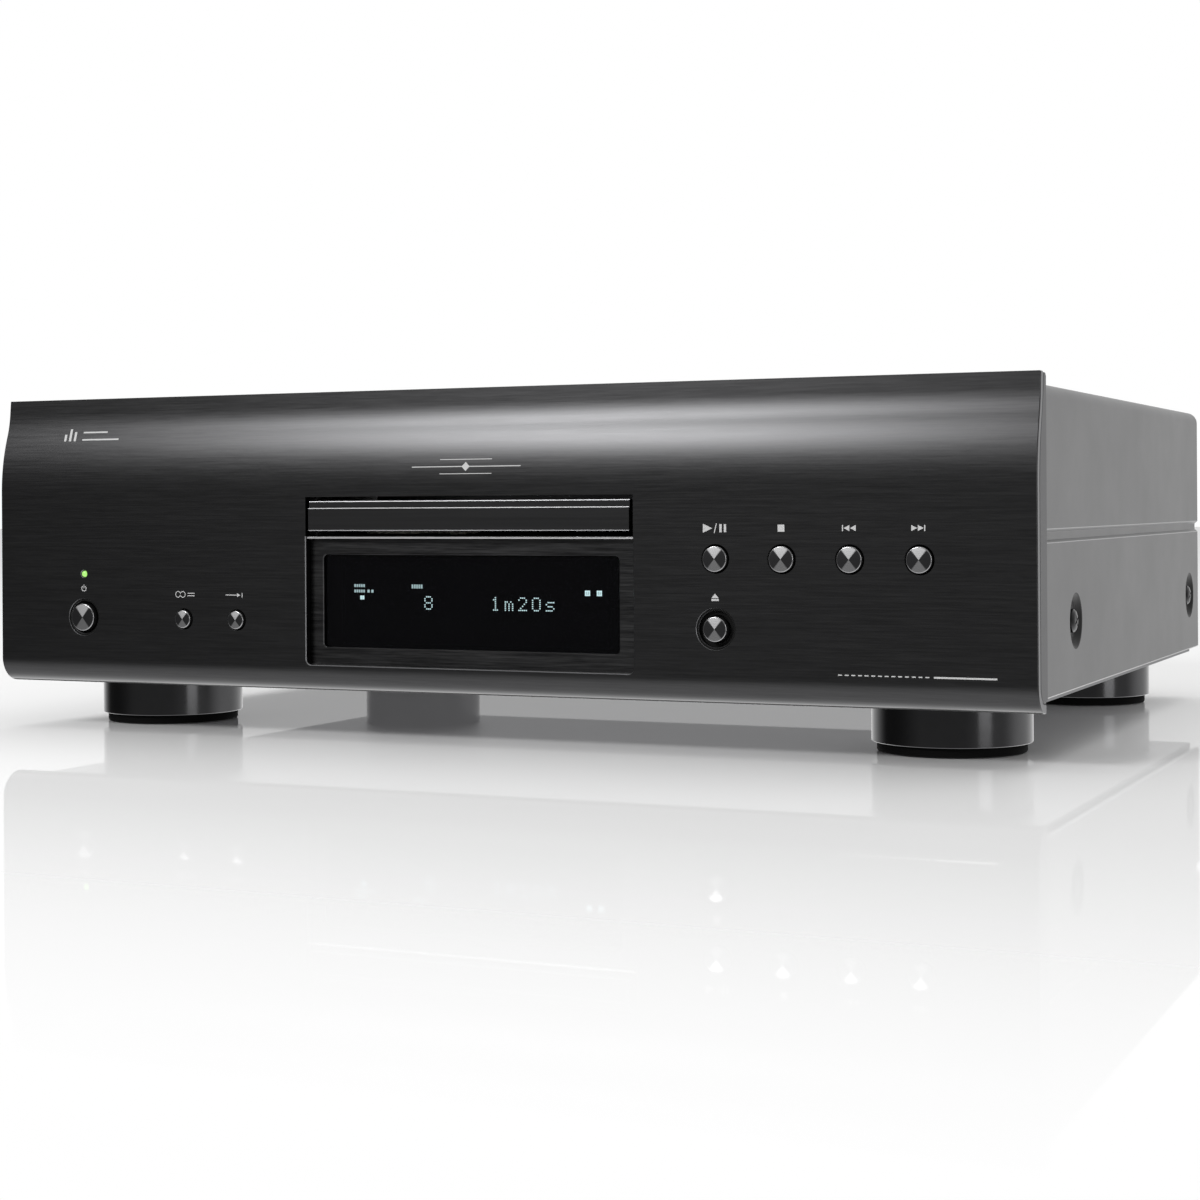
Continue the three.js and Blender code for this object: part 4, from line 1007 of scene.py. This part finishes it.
# ---- case cover
cover = {
    "sheet": 1.2,
    "corner": 5.0,
    "grooveHigh": 81.2,
    "grooveLow": 76.6,
    "grooveDeep": 1.3,
    "screwZ": 47.8,
    "dimple": 2.0,
    "smoothUnder": 6.8,  # degrees; low enough to keep the groove's bends crisp
}


def coverRing(x, top, bottom, inset):
    # half section from the hem up the side, through the groove, round the corner and over the top
    r = cover["corner"] - inset
    side, edge = x - inset, 0.35 if inset else 0.0
    deep = cover["grooveDeep"]
    low, high = cover["grooveLow"] - edge, cover["grooveHigh"] + edge
    hem = [[side - 0.4, bottom], [side, bottom + 0.5]]
    floor = side - deep
    lower = [[side, low - 0.25], [side - 0.12, low + 0.05], [floor + 0.1, low + 0.95], [floor, low + 1.2]]
    upper = [[floor, high - 1.2], [floor + 0.1, high - 0.95], [side - 0.12, high - 0.05], [side, high + 0.25]]
    wall = [*hem, *lower, *upper, [side, high + 2]]
    half = np.concatenate([wall, arc(side - r, top - inset - r, r, 0, 90, 14)])
    return np.concatenate([half, (half * [-1, 1])[::-1]])


def screwDimple(x):
    # profiles in mm of the pad added behind a screw and of the cone sunk into it, x being the cover's side
    x0 = x - cover["dimple"]
    pad = [[0, x0 - 1.2], [8.0, x0 - 1.2], [10.4, x - 1.25], [10.4, x - 0.9], [0, x - 0.9]]
    seat = [[2.3, x0 - 6], [2.3, x0], [7.4, x0], [7.8, x0 + 0.12]]
    lip = [[9.5, x - 0.22], [9.85, x - 0.04], [10.4, x + 0.03], [10.4, x + 2], [0, x + 2], [0, x0 - 6]]
    return pad, seat + lip


def makeCover():
    low, high = span("top_cover")
    x, top, bottom = high[0] / mm, high[2] / mm, low[2] / mm
    outer = coverRing(x, top, bottom, 0)
    inner = coverRing(x, top, bottom, cover["sheet"])
    loop = np.concatenate([outer, inner[::-1]]) * mm
    stations = [low[1], high[1]]
    rings = [np.stack([loop[:, 0], np.full(len(loop), y), loop[:, 1]], -1) for y in stations]
    made = piece("cover_shell", [skin(rings)], [coverPaint, paintedEdgeHighlight], stands=["top_cover"])
    pads, cuts = [], []
    for name in ("front", "rear"):
        y = centreOf(f"side_screw_right_{name}")[1]
        for side in (-1, 1):
            # the pads take the cover paint, the cones the darker paint, painted shade in the dimples
            for store, profile, paint in zip((pads, cuts), screwDimple(x), (coverPaint, dimpleShade)):
                shape = np.array(profile, float) * mm * [1, side]
                store.append(meshOf("helper", [turned(shape, (0, y, cover["screwZ"] * mm), "x", 64)], [paint]))
    carve(made, pads, "UNION")
    carve(made, cuts, "DIFFERENCE", cover["smoothUnder"])
    mesh = made.data
    middles = perFace(mesh, "center") / mm
    index = np.zeros(len(mesh.polygons), int)
    mesh.polygons.foreach_get("material_index", index)
    # the hem and the groove's two lips take the lighter paint: painted highlight lines along them
    outside, z = np.abs(middles[:, 0]) > x - 0.3, middles[:, 2]
    hem = z < bottom + 0.45
    lower = (z > cover["grooveLow"] - 0.3) & (z < cover["grooveLow"] + 0.1)
    upper = (z > cover["grooveHigh"] - 0.1) & (z < cover["grooveHigh"] + 0.3)
    index[outside & (hem | lower | upper)] = 1
    mesh.polygons.foreach_set("material_index", index)


screw = {"tip": 203.1, "seat": 214.3, "turn": 0.5, "armLength": 2.2, "armHalf": 0.4}


def makeScrews():
    # a low domed head with a cross cut in it
    tip, seat, turn = screw["tip"], screw["seat"], screw["turn"]
    head = [[0, tip], [1.7, tip], [1.9, seat], [4.3, seat], [4.35, seat + 0.25], [4.2, seat + 0.9],
            [3.4, seat + 1.6], [2.2, seat + 1.95], [0, seat + 2.05]]
    for sideName, side in (("left", -1), ("right", 1)):
        for end in ("front", "rear"):
            node = f"side_screw_{sideName}_{end}"
            low, high = span(node)
            y, z = (low[1] + high[1]) / 2, (low[2] + high[2]) / 2
            shape = turned(np.array(head) * mm * [1, side], (0, y, z), "x", 40)
            made = piece(node + "_head", [shape], screwSteel, stands=[node])
            x0, x1 = sorted([side * (seat + 0.7) * mm, side * (seat + 3) * mm])
            cuts = []
            for angle in (turn, turn + math.pi / 2):
                u = np.array([math.cos(angle), math.sin(angle)]) * screw["armLength"]
                v = np.array([-math.sin(angle), math.cos(angle)]) * screw["armHalf"]
                corners = [y, z] + np.array([u + v, -u + v, -u - v, u - v]) * mm
                cuts.append(meshOf("cross", [slab(corners, "x", x0, x1)], [screwSteel]))
            carve(made, cuts)


makeCover()
makeScrews()
print("cover made")


# ---- feet
foot = {"edge": 0.2, "sides": 128}


def makeFeet():
    for end in ("front", "rear"):
        for sideName in ("left", "right"):
            node, padNode = f"foot_{end}_{sideName}", f"foot_pad_{end}_{sideName}"
            low, high = span(node)
            x, y = (low[0] + high[0]) / 2, (low[1] + high[1]) / 2
            r = (high[0] - low[0]) / 2
            z0, z1, e = low[2], high[2], foot["edge"] * mm
            body = [[0, z0], [r - e, z0], [r, z0 + e], [r, z1 - e], [r - e, z1], [0, z1]]
            shell = turned(body, (x, y, 0), "z", foot["sides"])
            piece(node + "_shell", [shell], footMetal, stands=[node])
            low, high = span(padNode)
            r, z1 = (high[0] - low[0]) / 2, high[2]
            groove = [[r - 5 * mm, 0], [r - 4.6 * mm, 0.4 * mm], [r - 3.4 * mm, 0.4 * mm], [r - 3 * mm, 0]]
            rim = [[r - 0.7 * mm, 0], [r - 0.2 * mm, 0.2 * mm], [r, 0.7 * mm], [r, z1 - 0.3 * mm], [r - 0.3 * mm, z1]]
            pad = turned([[0, 0], *groove, *rim, [0, z1]], (x, y, 0), "z", 96)
            piece(padNode + "_disc", [pad], footRubber, stands=[padNode])


makeFeet()
print("feet made")


# ---- status light
def makeLight():
    low, high = span("status_light")
    x, z = (low[0] + high[0]) / 2, (low[2] + high[2]) / 2
    tip, end = low[1] / mm, high[1] / mm
    dome = [[0, tip], [0.5, tip + 0.04], [0.9, tip + 0.18], [1.15, tip + 0.45], [1.2, tip + 0.8], [1.2, end], [0, end]]
    lamp = turned(np.array(dome) * mm, (x, 0, z), "y", 40)
    piece("status_lamp", [lamp], statusGreen, stands=["status_light"])


makeLight()

# ---- carried-over pieces with broken edges and smooth rounds
refined("front_frame", framePlastic, 0.35 * mm)
refined("rear_panel", coverPaint, 0.15 * mm)
refined("disc_tray", blackPlastic, 0.25 * mm, body="tray")
refined("ac_inlet", socketPlastic, 0.3 * mm)
refined("analog_output_block", goldPlate, 0.12 * mm)
refined("coaxial_jack", goldPlate, 0.12 * mm)
refined("optical_jack", socketPlastic, 0.2 * mm)
refined("remote_jack_block", socketPlastic, 0.2 * mm)
refined("clamp_bridge", platedSteel, 0.2 * mm)
refined("clamp_puck", blackPlastic, 0.2 * mm, body="puck")
refined("turntable", blackPlastic, 0.2 * mm, body="platter")
refined("base_pan", panSteel, 0.0)

finishes = (
    (framePlastic, "traverse_frame loader_frame"),
    (platedSteel, "transformer_core guide_rod_left guide_rod_right"),
    (platedSteel, "spindle_motor feed_motor loading_motor pickup_sled"),
    (circuitBoard, "front_board power_board audio_board"),
    (windingCopper, "transformer_winding"),
    (goldPlate, "motor_pulley feed_pinion"),
    (whiteAcetal, "loading_gear pulley_gear feed_gear cam_slider"),
    (footRubber, "loading_belt"),
    (lensGlass, "objective_lens"),
    (deepBlack, "display_module"),
)
for material, nodes in finishes:
    for node in nodes.split():
        mesh = bpy.data.objects[node].data
        for number in range(len(mesh.materials)):
            mesh.materials[number] = material
        if not len(mesh.materials):
            mesh.materials.append(material)
print("carried-over pieces finished")
